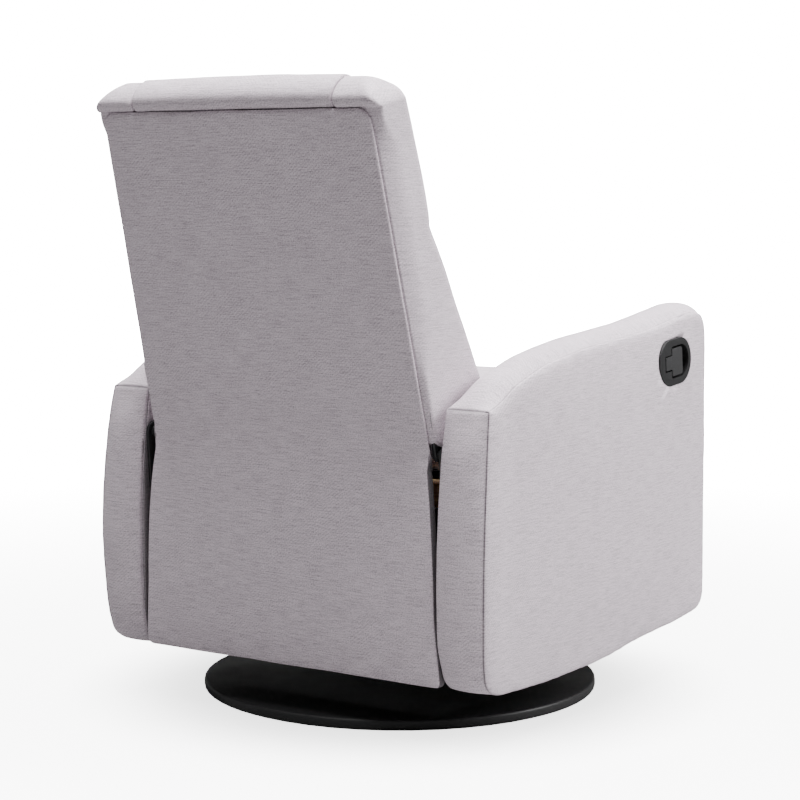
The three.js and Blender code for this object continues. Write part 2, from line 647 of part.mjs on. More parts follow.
for (const [name, side] of sides) {
  const tools = [acrossX(armCore(arm.wall, arm.bottom - overrun), side * cavityInner, side * cavityOuter)];
  const boardSolid = acrossX(armCore(arm.wall + runGap, arm.bottom + arm.wall), side * boardInner,
    side * boardOuter);
  const boardTools = [];
  if (name === 'right') {
    const outside = -(armSeam + 2 * arm.faceCrown);
    tools.push(inHandleFrame(acrossX(slotOutline(handle.height / 2 + seatGap), outside,
      -(handleFace - handle.flange - seatGap))));
    tools.push(inHandleFrame(acrossX(slotOutline(bowlRadius + handle.bowlWall + seatGap), outside,
      -(bowlFloor - seatGap))));
    tools.push(rod(cable.holeRadius, -(arm.inner - overrun), -(cavityInner + overrun), ...cableHole));
    boardTools.push(acrossX(stadium(cableHole, [cableHole[0], cableHole[1] + arm.wall], 2 * cable.holeRadius),
      -(boardInner - overrun), -(boardOuter + overrun)));
  }
  piece(chassis, `arm_cover_${name}`, cut(armSkin(side), ...tools), finish.fabric);
  piece(chassis, `arm_board_${name}`, cut(boardSolid, ...boardTools), finish.wood);
}

// Release handle: bezel over a finger bowl, a pin, and a T-shaped paddle that swings out on it.
// The bezel's opening follows the paddle closely at its stem and is open in front of it, for the fingers.

const bowlHalf = handleHalf + bowlRadius;
const paddleFront = paddle.frontInset - bowlHalf;
const paddleNeck = bowlHalf - paddle.neckInset;
const stemEnd = bowlHalf - paddle.rearInset;
const plateHalf = bowlRadius - paddle.plateMargin;
const openHalf = plateHalf + paddle.fingerGap;
const openRear = paddleNeck + paddle.gap;
const stemSide = paddle.stemHalf + paddle.gap;
const openFront = stadium([openHalf - bowlHalf, 0], [openRear, 0], openHalf, 12).filter(([y]) => y < 0);
const openingOutline = rounded([
  ...openFront.map(([y, z]) => [y, z, 0]),
  [openRear, -openHalf, paddle.openingRound], [openRear, -stemSide, 0], [stemEnd + paddle.gap, -stemSide, 0],
  [stemEnd + paddle.gap, stemSide, 0], [openRear, stemSide, 0], [openRear, openHalf, paddle.openingRound],
]);
const behindFace = handleFace - handle.faceWall;
piece(chassis, 'handle_bezel', inHandleFrame(cut(
  join(
    acrossX(slotOutline(handle.height / 2), -handleFace, -(handleFace - handle.flange)),
    acrossX(slotOutline(bowlRadius + handle.bowlWall), -(handleFace - handle.flange / 2), -bowlFloor),
  ),
  acrossX(openingOutline, -(handleFace + overrun), -(behindFace - handle.faceWall / 2)),
  acrossX(slotOutline(bowlRadius), -behindFace, -(bowlFloor + handle.bowlWall)),
)), finish.plastic);

const pinX = -(handleFace - paddle.pinDepth);
const pinY = stemEnd - paddle.pinInset;
const pinHalf = Math.sqrt(bowlRadius ** 2 - (pinY + paddle.pinRadius - handleHalf) ** 2) - 2 * seatGap;
const upright = (radius, half, facets) => new THREE.CylinderGeometry(radius, radius, 2 * half, facets)
  .rotateX(Math.PI / 2).translate(pinX, pinY, 0);
piece(chassis, 'handle_pin', inHandleFrame(upright(paddle.pinRadius, pinHalf, 12)), finish.zinc);

const paddleGroup = assembly('handle');
const paddleOutline = rounded([
  [paddleFront, -plateHalf, paddle.thickness], [paddleNeck, -plateHalf, paddle.gap],
  [paddleNeck, -paddle.stemHalf, 0], [stemEnd, -paddle.stemHalf, 0], [stemEnd, paddle.stemHalf, 0],
  [paddleNeck, paddle.stemHalf, 0], [paddleNeck, plateHalf, paddle.gap],
  [paddleFront, plateHalf, paddle.thickness],
]);
piece(paddleGroup, 'handle_paddle', inHandleFrame(cut(
  join(
    acrossX(paddleOutline, -(handleFace - runGap), -(handleFace - runGap - paddle.thickness)),
    upright(paddle.knuckle, paddle.stemHalf, 16),
  ),
  upright(paddle.pinRadius + runGap, paddle.stemHalf + overrun, 12),
)), finish.plastic);

// Release pawl beside the fold's hub, and the sheathed cable that pulls it

const hubOuter = foldInner;
const hubInner = hubOuter - fold.thickness - fold.layerGap;
const pawlNose = [foldY + pawl.rimRadius + pawl.rimGap + pawl.width / 2, foldZ];
piece(assembly('release'), 'release_pawl', join(
  acrossX(stadium(pawlPivot, pawlNose, pawl.width / 2), -hubInner, -hubOuter),
  acrossX(stadium(pawlPivot, cableHole, pawl.width / 2 - seatGap), -hubInner, -hubOuter),
  rod(pawl.pinRadius, -(hubOuter - fold.thickness), -(plateOuter + fold.layerGap), ...pawlPivot),
), finish.zinc);

const cableX = (cavityOuter + boardOuter) / 2;
const cableTop = handleZ - bowlRadius - handle.bowlWall - 2 * seatGap;
const bend = cableX - cavityInner;
const downShares = [[0.3, 0.35], [0.8, 0.65]];
const bendShares = [[0, 1.5], [0.06, 1], [0.33, 0.4], [0.7, 0.06]];
const [cableY, cableZ] = cableHole;
const cableRoute = new THREE.CatmullRomCurve3([
  [cableX, handleY, cableTop], [cableX, handleY, cableTop - bend],
  ...downShares.map(([a, b]) => [
    cableX, THREE.MathUtils.lerp(handleY, cableY, a), THREE.MathUtils.lerp(cableTop, cableZ, b)]),
  ...bendShares.map(([a, b]) => [cableX - bend * a, cableY, cableZ + bend * b]),
  [cavityInner, cableY, cableZ], [seatHalf, cableY, cableZ], [plateOuter, cableY, cableZ],
  [hubOuter + seatGap, cableY, cableZ],
].map(([x, y, z]) => new THREE.Vector3(-x, y, z)), false, 'centripetal');
piece(chassis, 'release_cable', wire(cableRoute, cable.radius, cable.facets, cable.steps), finish.rubber);

// Lower back panel, between the arms, and the fabric strip that bends at the crease above it

const panelHalf = arm.inner - lowerPanel.sideGap;
piece(chassis, 'lower_back_panel', acrossY(rounded([
  [-panelHalf, lowerPanel.bottom, lowerPanel.round], [panelHalf, lowerPanel.bottom, lowerPanel.round],
  [lowerHalf, panelTop, 0], [-lowerHalf, panelTop, 0],
]), back.creaseY - lowerPanel.thickness, back.creaseY), finish.fabric);

const fromBack = (y, z) => [
  back.creaseY + y * Math.cos(back.lean) + z * Math.sin(back.lean),
  back.creaseZ - y * Math.sin(back.lean) + z * Math.cos(back.lean),
];
const stripTop = back.shellStart - seatGap;
const stripThickness = back.shell * back.stripShare;
const stripHalf = lowerHalf - back.shellWall;
piece(chassis, 'back_crease_strip', acrossX([
  [back.creaseY, panelTop + seatGap], fromBack(0, stripTop), fromBack(-stripThickness, stripTop),
  [back.creaseY - stripThickness, panelTop + seatGap],
], -stripHalf, stripHalf), finish.fabric);

// Hinge plates on the inner faces of the arms, with the pins that the back turns on

for (const [name, side] of sides) {
  const outer = arm.inner - seatGap;
  const inner = outer - hingePlate.thickness;
  const bracketOuter = lowerHalf + runGap + backBracket.thickness;
  const ear = acrossX(stadium([backHingeY - backHinge.pinRadius, backHingeZ - hingePlate.drop],
    [backHingeY, backHingeZ], hingePlate.width / 2), side * inner, side * outer);
  const boss = rod(backHinge.bossRadius, side * (inner + hingePlate.thickness / 2),
    side * (bracketOuter + runGap), backHingeY, backHingeZ);
  const pin = rod(backHinge.pinRadius, side * (inner + hingePlate.thickness / 2),
    side * (lowerHalf + 2 * runGap), backHingeY, backHingeZ);
  piece(chassis, `back_hinge_plate_${name}`, join(ear, boss, pin), finish.blackSteel);
}

// Back: board, rear shell, brackets and four pillows, all in the back's own leaning frame

const backGroup = assembly('back');
backGroup.position.set(0, back.creaseY, back.creaseZ);
backGroup.rotation.x = -back.lean;

const backHalfAt = (z) => THREE.MathUtils.mapLinear(z, 0, back.length, lowerHalf, lowerHalf - back.taper);
const shellOutline = (inset, low) => rounded([
  [-backHalfAt(low) + inset, low, 0], [backHalfAt(low) - inset, low, 0],
  [backHalfAt(back.length) - inset, back.length - inset, back.cornerRound - inset],
  [-backHalfAt(back.length) + inset, back.length - inset, back.cornerRound - inset],
]);
piece(backGroup, 'back_rear_panel', cut(
  acrossY(shellOutline(0, back.shellStart), -shellDepth, 0),
  acrossY(shellOutline(back.shellWall, back.shellStart - overrun), -shellDepth - overrun, -back.shell),
), finish.fabric);

const boardInset = back.shellWall + seatGap;
const roundHole = circlePoints(boardHole.radius, 24);
const boardHoles = [-1, 1].flatMap((side) => boardHole.heightShares.map((share) => acrossY(
  roundHole.map(([a, b]) => [a + side * boardHole.fromCentre, b + share * back.length]),
  -shellDepth - overrun, 0)));
piece(backGroup, 'back_board', cut(
  acrossY(shellOutline(boardInset, back.shellStart), -shellDepth, -back.shell - seatGap), ...boardHoles,
), finish.wood);

for (const [name, side] of sides) {
  const inner = lowerHalf + runGap;
  const outer = inner + backBracket.thickness;
  const bar = acrossX(stadium([hingeLocal.y, hingeLocal.z], [hingeLocal.y, hingeLocal.z + backBracket.rise],
    backBracket.width / 2), side * inner, side * outer);
  const bore = rod(backHinge.pinRadius + runGap, side * (inner - overrun), side * (outer + overrun),
    hingeLocal.y, hingeLocal.z);
  piece(backGroup, `back_bracket_${name}`, cut(bar, bore), finish.blackSteel);
}

// Pillow outlines, as shares of the back's thickness at the seat, forward, and of its length, upward
const backFoot = back.pillowBottom / back.length;
const channel = back.channelShare;
const rearShare = pillowRear / back.seatThickness;
const rollFoot = (back.length + 2 * seatGap) / back.length;
const lumbarShares = [
  [rearShare, backFoot * 0.35], [0.45, backFoot * 0.85], [0.8, backFoot], [0.92, backFoot * 0.6], [0.95, 0],
  [0.92, 0.12], [0.835, 0.25], [0.755, 0.36], [0.69, 0.46], [0.625, 0.54], [0.575, channel - 0.03],
  [0.51, channel - 0.006], [0.4, channel - 0.002], [rearShare, channel - 0.002],
];
const headShares = [
  [rearShare, channel + 0.002], [0.4, channel + 0.002], [0.49, channel + 0.006], [0.54, channel + 0.03],
  [0.545, 0.72], [0.538, 0.82], [0.52, 0.9], [0.495, 0.97], [0.465, 1.02], [0.4, 1.055], [0.29, 1.078],
  [0.18, 1.083], [0.085, 1.067], [0.022, 1.044], [0.004, 1.02], [0.004, rollFoot], [rearShare, rollFoot],
];
const bolsterShares = [
  [rearShare, backFoot * 0.35], [0.45, backFoot * 0.8], [0.78, backFoot * 0.92], [0.9, backFoot * 0.55],
  [0.93, 0], [0.9, 0.12], [0.82, 0.25], [0.745, 0.36], [0.68, 0.46], [0.61, 0.54], [0.565, channel - 0.03],
  [0.525, channel], [0.54, channel + 0.03], [0.545, 0.72], [0.54, 0.82], [0.525, 0.9], [0.5, 0.97],
  [0.465, 1.018], [0.4, 1.052], [0.29, 1.075], [0.18, 1.08], [0.085, 1.064], [0.022, 1.042],
  [0.004, 1.02], [0.004, rollFoot], [rearShare, rollFoot],
];
const backOutline = (shares) => shares.map(([a, b]) => [-a * back.seatThickness, b * back.length]);
const frontFacing = (normal) => Math.max(-normal.x, 0) ** 3;
const centreHalf = back.bolsterSeam - back.pillowGap / 2;
const centrePillow = (shares) => pillow({
  outline: backOutline(shares), width: 2 * centreHalf, round: back.pillowRound, drawn: back.pillowDrawn,
  crown: back.crown, facing: frontFacing,
  sideOf: (share) => THREE.MathUtils.lerp(-centreHalf, centreHalf, share),
});
piece(backGroup, 'back_lumbar_pillow', centrePillow(lumbarShares), finish.fabric);
piece(backGroup, 'back_head_pillow', centrePillow(headShares), finish.fabric);

// The outer side of a bolster follows the back's taper and rounds in over the upper corner
const rollTop = back.length + back.roll;
function bolsterSide(z) {
  const over = THREE.MathUtils.clamp((z - (rollTop - back.topRound)) / back.topRound, 0, 1);
  return backHalfAt(z) + back.bulge - back.topRound * (1 - Math.sqrt(1 - over ** 2));
}
for (const [name, side] of sides) {
  const innerSide = back.bolsterSeam + back.pillowGap / 2;
  piece(backGroup, `back_bolster_${name}`, pillow({
    outline: backOutline(bolsterShares), width: lowerHalf + back.bulge - innerSide,
    round: back.pillowRound, drawn: back.pillowDrawn, crown: back.crown / 2, facing: frontFacing,
    sideOf: (share, y, z) => (side > 0
      ? THREE.MathUtils.lerp(innerSide, bolsterSide(z), share)
      : -THREE.MathUtils.lerp(bolsterSide(z), innerSide, share)),
  }), finish.fabric);
}

// Footrest: links in the fold's own frame, whose y runs back along the fold and z up across it

const footrest = assembly('footrest');
footrest.position.set(0, foldY, foldZ);
footrest.rotation.x = -fold.tilt;
const lean = Math.PI / 2 - fold.rest;
const linkABar = (side, length) => acrossX(stadium([0, 0], [0, -length], fold.width / 2),
  side * foldInner, side * (foldInner + fold.thickness));
const linkBBar = (side, length) => acrossX(stadium([0, 0], [0, -length], fold.width / 2),
  side * linkBInner, side * linkBOuter);
const rivet = (side, z) => {
  const root = foldInner + fold.thickness / 2;
  const head = linkBOuter + runGap;
  return [
    rod(fold.rivetRadius, side * root, side * (head + fold.rivetHeadThickness / 2), 0, z, 12),
    rod(fold.rivetHead, side * head, side * (head + fold.rivetHeadThickness), 0, z, 12),
  ];
};
const rivetBore = (side, z, clearance) => rod(fold.rivetRadius + clearance, side * (linkBInner - overrun),
  side * (linkBOuter + overrun), 0, z, 12);
const pinEnd = plateOuter + fold.layerGap;

// World (y, z) brought into the frame of a link that hangs from one of the fold's points
const intoLink = (origin, turn, [y, z]) => {
  const dy = y - origin[0];
  const dz = z - origin[1];
  return [dy * Math.cos(turn) + dz * Math.sin(turn), -dy * Math.sin(turn) + dz * Math.cos(turn)];
};

for (const [name, side] of sides) {
  const hubDisc = rod(pawl.rimRadius, side * hubInner, side * (hubOuter - runGap), 0, 0, 24);
  const shaft = rod(fold.pinRadius, side * (hubInner + fold.thickness / 2), side * pinEnd, 0, 0);
  const first = piece(footrest, `footrest_link_1_${name}`, join(
    linkABar(side, linkLength), hubDisc, shaft, ...rivet(side, -fold.half), ...rivet(side, -linkLength),
  ), finish.zinc);
  first.rotation.x = -lean;

  const slotPin = rod(fold.slotPinRadius, side * (linkBInner + fold.thickness / 2), side * pinEnd,
    0, -linkLength);
  const second = piece(footrest, `footrest_link_2_${name}`, cut(
    join(linkBBar(side, linkLength), slotPin),
    rivetBore(side, 0, runGap), rivetBore(side, -fold.half, runGap),
  ), finish.zinc);
  second.position.y = -linkLength * restCos;
  second.rotation.x = lean;

  const turn = -fold.tilt - lean;
  const face = boardRear + seatGap;
  const low = boardBottom + footBracket.low;
  const high = boardBottom + footBracket.high;
  const bracketWall = acrossX([
    [face, low], [boardEnd[0], low], secondCross, [secondCross[0], high], [face, high],
  ].map((point) => intoLink(upperJoint, turn, point)), side * foldInner, side * (foldInner + fold.thickness));
  const corners = [
    [face, low], [face + footBracket.thickness, low], [face + footBracket.thickness, high], [face, high]];
  const flange = acrossX(corners.map((point) => intoLink(upperJoint, turn, point)),
    side * (foldInner - footBracket.flange), side * (foldInner + fold.thickness));
  const third = piece(footrest, `footrest_link_3_${name}`, join(
    linkABar(side, linkLength), ...rivet(side, 0), ...rivet(side, -fold.half), bracketWall, flange,
  ), finish.zinc);
  third.position.y = -linkLength * restCos;
  third.rotation.x = -lean;

  const fourth = piece(footrest, `footrest_link_4_${name}`, cut(
    linkBBar(side, fold.half), rivetBore(side, 0, fold.openClearance), rivetBore(side, -fold.half, runGap),
  ), finish.zinc);
  fourth.position.set(0, -3 * fold.half * restCos, -fold.half * restSin);
  fourth.rotation.x = lean;
}
const torqueReach = hubInner - seatGap;
piece(footrest, 'torque_tube', cut(
  rod(torqueTube.radius, -torqueReach, torqueReach, 0, 0, 24),
  rod(torqueTube.bore, -torqueReach - overrun, torqueReach + overrun, 0, 0, 24),
), finish.blackSteel);

// Footrest board and its pad, upright behind the front edge of the arms

const footGroup = assembly('foot_board');
const boardFront = boardRear - footBoard.thickness;
const footHalf = arm.inner - footBoard.sideGap;
piece(footGroup, 'footrest_board',
  box(-footHalf, footHalf, boardFront, boardRear, boardBottom, boardTop), finish.wood);
const padRear = boardFront - seatGap;
const padHalf = footHalf + footPad.sideLap;
const padShares = [
  [1, 0.02], [0.8, 0], [0.4, 0.004], [0.12, 0.025], [0.01, 0.08], [0, 0.3], [0, 0.7], [0.01, 0.92],
  [0.12, 0.975], [0.4, 0.996], [0.8, 1], [1, 0.98],
];
piece(footGroup, 'footrest_pad', pillow({
  outline: padShares.map(([a, b]) => [
    THREE.MathUtils.lerp(padRear - footPad.thickness, padRear, a),
    THREE.MathUtils.lerp(boardBottom - footPad.bottomLap, boardTop + footPad.topLap, b)]),
  width: 2 * padHalf, round: footPad.round, drawn: footPad.round * footPad.drawnShare, crown: footPad.crown,
  facing: frontFacing, sideOf: (share) => THREE.MathUtils.lerp(-padHalf, padHalf, share),
}), finish.fabric);

export default object;
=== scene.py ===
# %% [markdown]
# # Dressing a swivel glider recliner
# The CAD model holds every piece of this chair as a plain solid: frame, springs, linkages and covers.
# This lesson loads it as a fixed frame, in metres, with the floor at zero, the rear at +Y and the
# sitter's left at +X. Then it sews the covers, pads the cushions and gives each piece its finish.

# %% Load the frame
import json
import math

import bmesh
import bpy
import numpy as np
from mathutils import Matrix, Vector, noise
from mathutils.bvhtree import BVHTree


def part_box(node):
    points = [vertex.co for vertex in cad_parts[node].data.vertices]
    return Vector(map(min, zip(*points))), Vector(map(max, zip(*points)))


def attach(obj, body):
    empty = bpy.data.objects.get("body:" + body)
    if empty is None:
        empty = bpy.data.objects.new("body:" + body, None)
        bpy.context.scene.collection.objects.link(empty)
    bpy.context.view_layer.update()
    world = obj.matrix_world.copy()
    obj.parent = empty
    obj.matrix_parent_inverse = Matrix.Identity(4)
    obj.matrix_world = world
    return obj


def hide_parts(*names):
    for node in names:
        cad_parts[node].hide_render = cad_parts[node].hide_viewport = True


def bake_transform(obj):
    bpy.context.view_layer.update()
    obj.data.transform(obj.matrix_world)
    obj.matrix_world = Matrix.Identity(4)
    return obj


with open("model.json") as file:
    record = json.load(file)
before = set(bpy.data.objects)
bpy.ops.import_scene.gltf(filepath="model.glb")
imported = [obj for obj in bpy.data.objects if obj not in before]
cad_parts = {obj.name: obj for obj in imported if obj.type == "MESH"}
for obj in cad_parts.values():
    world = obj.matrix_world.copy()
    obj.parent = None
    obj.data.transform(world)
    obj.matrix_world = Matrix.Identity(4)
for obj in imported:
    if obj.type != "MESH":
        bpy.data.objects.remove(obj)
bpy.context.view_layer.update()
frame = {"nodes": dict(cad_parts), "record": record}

# %% [markdown]
# ## The camera
# The photograph was taken from behind the chair's right side, a little above its arms, with a long lens.
# A long lens keeps upright lines nearly parallel. The place and the two angles below were worked out from
# the round base and the corners of the arms, so the render can be laid over the photograph. The yaw turns
# the view from -Y towards +X and the pitch tilts it down, both in radians.

# %% Camera
camera_data = bpy.data.cameras.new("photo_camera")
camera = bpy.data.objects.new("photo_camera", camera_data)
bpy.context.scene.collection.objects.link(camera)
camera_data.sensor_width = 36
camera_data.lens = 97.55
camera_yaw, camera_pitch = 0.5974, 0.1042
camera.location = (-2.1294, 3.1293, 0.9017)
look = Vector((math.sin(camera_yaw) * math.cos(camera_pitch),
               -math.cos(camera_yaw) * math.cos(camera_pitch), -math.sin(camera_pitch)))
camera.rotation_mode = "QUATERNION"
camera.rotation_quaternion = look.to_track_quat("-Z", "Y")
bpy.context.scene.camera = camera
print("camera looks along", [round(v, 3) for v in look])

# %% [markdown]
# ## Shader helpers
# Every finish below is a small network of nodes. Adding nodes one call at a time is long-winded, so one
# helper adds a node with its settings and input values, and another joins two sockets. A value that is
# the same all over a surface goes straight on the shader's own socket, where an exporter can read it.

# %% Node helpers
def add(tree, kind, inputs=None, **settings):
    """A new node in the tree. An input's value is a number, a colour or another node's socket."""
    node = tree.nodes.new(kind)
    node.location = (220 * (len(tree.nodes) % 8), -240 * (len(tree.nodes) // 8))
    for name, value in settings.items():
        setattr(node, name, value)
    for name, value in (inputs or {}).items():
        if isinstance(value, bpy.types.NodeSocket):
            tree.links.new(value, node.inputs[name])
        else:
            node.inputs[name].default_value = value
    return node


def result(tree, kind, inputs=None, **settings):
    """The first output of a new node."""
    return add(tree, kind, inputs, **settings).outputs[0]


def sums(tree, operation, *values):
    """The result socket of a Math node."""
    return result(tree, "ShaderNodeMath", dict(enumerate(values)), operation=operation)


def ramp(tree, value, low, high, low_out=0.0, high_out=1.0):
    """The value, moved smoothly from one range to another and held at its ends."""
    names = {"Value": value, "From Min": low, "From Max": high, "To Min": low_out, "To Max": high_out}
    return result(tree, "ShaderNodeMapRange", names, interpolation_type="SMOOTHSTEP")


def tint(tree, share, first, second):
    """A colour between two others."""
    node = add(tree, "ShaderNodeMix", data_type="RGBA")
    for index, value in ((0, share), (6, first), (7, second)):
        if isinstance(value, bpy.types.NodeSocket):
            tree.links.new(value, node.inputs[index])
        else:
            node.inputs[index].default_value = value
    return node.outputs[2]


def rgb(red, green, blue):
    """A colour picked on screen, from 0 to 255, as the linear numbers that shaders use."""
    parts = [c / 255 for c in (red, green, blue)]
    return tuple(c / 12.92 if c < 0.04045 else ((c + 0.055) / 1.055) ** 2.4 for c in parts) + (1.0,)


def shader_group(name, inputs, outputs):
    """An empty node group with named inputs and outputs. Returns the tree, its input and its output."""
    tree = bpy.data.node_groups.new(name, "ShaderNodeTree")
    for label, kind, value in inputs:
        socket = tree.interface.new_socket(name=label, in_out="INPUT", socket_type=kind)
        if value is not None:
            socket.default_value = value
    for label, kind in outputs:
        tree.interface.new_socket(name=label, in_out="OUTPUT", socket_type=kind)
    return tree, tree.nodes.new("NodeGroupInput"), tree.nodes.new("NodeGroupOutput")


def new_material(name, colour):
    """A material with a Principled shader. The plain colour is what the viewport shows."""
    material = bpy.data.materials.new(name)
    material.use_nodes = True
    material.diffuse_color = colour
    return material, material.node_tree, material.node_tree.nodes["Principled BSDF"]


print("one orange in linear numbers", [round(c, 3) for c in rgb(255, 128, 0)])

# %% [markdown]
# ## The woven cloth
# The cover is a warm, pale grey cloth. Close up it shows a fine diagonal twill, and from a step away fine
# uneven threads that run across it, called slubs. A picture of cloth would repeat, so the weave is worked
# out from the piece's own UV map, which is in metres. Noise that is squeezed one way makes the slubs.

# %% Group: weave
weave, weave_in, weave_out = shader_group(
    "cloth_weave",
    [("UV", "NodeSocketVector", None), ("Light", "NodeSocketColor", rgb(220, 214, 218)),
     ("Dark", "NodeSocketColor", rgb(150, 144, 149)), ("Thread Pitch", "NodeSocketFloat", 0.0011),
     ("Slub", "NodeSocketFloat", 1.0), ("Seam", "NodeSocketFloat", 0.0)],
    [("Color", "NodeSocketColor"), ("Roughness", "NodeSocketFloat"), ("Height", "NodeSocketFloat")])
given = weave_in.outputs
uv = add(weave, "ShaderNodeSeparateXYZ", {0: given["UV"]})
across, up = uv.outputs[0], uv.outputs[1]
turns = sums(weave, "DIVIDE", math.tau, given["Thread Pitch"])
twill_sum = sums(weave, "MULTIPLY", sums(weave, "ADD", across, up), turns)
twill = sums(weave, "MULTIPLY_ADD", sums(weave, "SINE", twill_sum), 0.5, 0.5)
pick_sum = sums(weave, "MULTIPLY", up, turns)
pick = sums(weave, "MULTIPLY_ADD", sums(weave, "SINE", pick_sum), 0.5, 0.5)
TWILL_SHARE, PICK_SHARE = 0.6, 0.4
threads = sums(weave, "MULTIPLY_ADD", twill, TWILL_SHARE, sums(weave, "MULTIPLY", pick, PICK_SHARE))


def stretched_noise(tree, vector, scale, detail, place):
    """Noise squeezed along one way, for threads, brush marks and grain."""
    mapped = result(tree, "ShaderNodeMapping", {"Vector": vector, "Scale": scale, "Location": place})
    return result(tree, "ShaderNodeTexNoise",
                  {"Vector": mapped, "Scale": 1.0, "Detail": detail, "Roughness": 0.6})


# Each noise: its waves to a metre across and up the cloth, its detail, and its place in the noise.
CLOTH_NOISES = {
    "long_slubs": ((26, 520, 1), 3, (0.3, 0.7, 0)),
    "short_slubs": ((90, 900, 1), 2, (4.1, 2.3, 0)),
    "upright_threads": ((700, 60, 1), 2, (1.7, 9.2, 0)),
    "mottle": ((14, 22, 1), 3, (6.5, 1.1, 0)),
    "specks": ((480, 480, 1), 1, (2.2, 5.4, 0)),
    "rib_patches": ((5, 6, 1), 2, (7.7, 4.2, 0))}
# What each noise adds to the shade: the noise's low and high end, and the amount at each of them. The last
# one says instead how strongly the ribs show.
SHADE_AMOUNTS = {
    "long_slubs": (0.36, 0.72, -0.16, 0.2),
    "short_slubs": (0.34, 0.7, -0.1, 0.12),
    "upright_threads": (0.35, 0.7, -0.04, 0.05),
    "mottle": (0.3, 0.7, -0.03, 0.03),
    "specks": (0.36, 0.64, -0.19, 0.19),
    "rib_patches": (0.4, 0.62, 0.01, 0.09)}
noises = {name: stretched_noise(weave, given["UV"], *numbers) for name, numbers in CLOTH_NOISES.items()}
amounts = {name: ramp(weave, noises[name], *numbers) for name, numbers in SHADE_AMOUNTS.items()}
slubs = sums(weave, "MULTIPLY", given["Slub"],
             sums(weave, "ADD", amounts["long_slubs"], amounts["short_slubs"]))
THREAD_CONTRAST, MIDDLE_SHADE = -0.22, 0.5
shade = slubs
for amount in (amounts["upright_threads"], amounts["mottle"], amounts["specks"],
               sums(weave, "MULTIPLY_ADD", threads, THREAD_CONTRAST, MIDDLE_SHADE)):
    shade = sums(weave, "ADD", shade, amount)
RIB_TURN, RIB_PITCH, RIB_SHAKE = math.radians(38), 0.0046, 3.0
turned = result(weave, "ShaderNodeMapping", {"Vector": given["UV"], "Rotation": (0, 0, RIB_TURN)})
rib_run = add(weave, "ShaderNodeSeparateXYZ", {0: turned}).outputs[1]
rib_sum = sums(weave, "MULTIPLY_ADD", noises["mottle"], RIB_SHAKE,
               sums(weave, "MULTIPLY", rib_run, math.tau / RIB_PITCH))
ribs = sums(weave, "MULTIPLY", sums(weave, "SINE", rib_sum), amounts["rib_patches"])
shade = sums(weave, "ADD", shade, ribs)
# Painted shade: where the attribute seam marks a point, the cloth is tinted towards a dark grey. This stands
# in for the shadow deep in seams and in the gaps beside the back.
SEAM_SHADE_SHARE, SEAM_SHADE_COLOUR = 0.85, rgb(58, 54, 58)
seam_shaded = tint(weave, sums(weave, "MULTIPLY", given["Seam"], SEAM_SHADE_SHARE),
            tint(weave, shade, given["Light"], given["Dark"]), SEAM_SHADE_COLOUR)
weave.links.new(seam_shaded, weave_out.inputs["Color"])
weave.links.new(ramp(weave, shade, 0.0, 1.0, 0.82, 0.96), weave_out.inputs["Roughness"])
SLUB_HEIGHT = 1.8
weave.links.new(sums(weave, "SUBTRACT", threads, sums(weave, "MULTIPLY", slubs, SLUB_HEIGHT)),
                weave_out.inputs["Height"])
print("weave nodes", len(weave.nodes))


# %% Material: upholstery cloth
def cloth(name, light, dark):
    """The woven cloth in two thread colours. It needs the UV map cloth and the attribute seam, which paints
    shade into its seams and gaps.
    """
    material, tree, shader = new_material(name, light)
    group = add(tree, "ShaderNodeGroup", node_tree=weave)
    uv_map = add(tree, "ShaderNodeUVMap", uv_map="cloth")
    seam = add(tree, "ShaderNodeAttribute", attribute_name="seam")
    tree.links.new(uv_map.outputs[0], group.inputs["UV"])
    tree.links.new(seam.outputs["Fac"], group.inputs["Seam"])
    group.inputs["Light"].default_value = light
    group.inputs["Dark"].default_value = dark
    bump = add(tree, "ShaderNodeBump", {"Height": group.outputs["Height"], "Strength": 0.35,
                                        "Distance": 0.0004})
    tree.links.new(group.outputs["Color"], shader.inputs["Base Color"])
    tree.links.new(group.outputs["Roughness"], shader.inputs["Roughness"])
    tree.links.new(bump.outputs[0], shader.inputs["Normal"])
    shader.inputs["Sheen Weight"].default_value = 0.12
    shader.inputs["Sheen Roughness"].default_value = 0.6
    shader.inputs["Specular IOR Level"].default_value = 0.25
    return material


upholstery = cloth("upholstery_cloth", rgb(232, 219, 228), rgb(142, 130, 140))
print("materials", len(bpy.data.materials))

# %% [markdown]
# ## Coats, metals, plastic and wood
# Under the cover there are painted plates, zinc-plated links, oiled springs, moulded plastic and raw
# boards. One more group gives the coats their fine grain and scuffs, and the wood materials make their own
# rings and pores. Both read Object coordinates, because these pieces are never bent.

# %% Group: grain and scuffs
grain, grain_in, grain_out = shader_group(
    "grain_and_scuffs",
    [("Base", "NodeSocketColor", rgb(40, 40, 42)), ("Scuff", "NodeSocketColor", rgb(90, 90, 92)),
     ("Grain Size", "NodeSocketFloat", 0.0012), ("Scuffs", "NodeSocketFloat", 0.3),
     ("Roughness", "NodeSocketFloat", 0.45), ("Spread", "NodeSocketFloat", 0.1)],
    [("Color", "NodeSocketColor"), ("Roughness", "NodeSocketFloat"), ("Height", "NodeSocketFloat")])
given = grain_in.outputs
place = add(grain, "ShaderNodeTexCoord").outputs["Object"]
fine_scale = sums(grain, "DIVIDE", 1.0, given["Grain Size"])
fine = result(grain, "ShaderNodeTexNoise", {"Vector": place, "Detail": 2.0, "Scale": fine_scale})
cloud = result(grain, "ShaderNodeTexNoise", {"Vector": place, "Scale": 9.0, "Detail": 4.0})
scratch = stretched_noise(grain, place, (40, 40, 420), 3, (0.4, 0.2, 0.9))
scuff_mask = sums(grain, "MULTIPLY", ramp(grain, cloud, 0.5, 0.72), ramp(grain, scratch, 0.5, 0.68))
scuffed = sums(grain, "MULTIPLY", given["Scuffs"], scuff_mask)
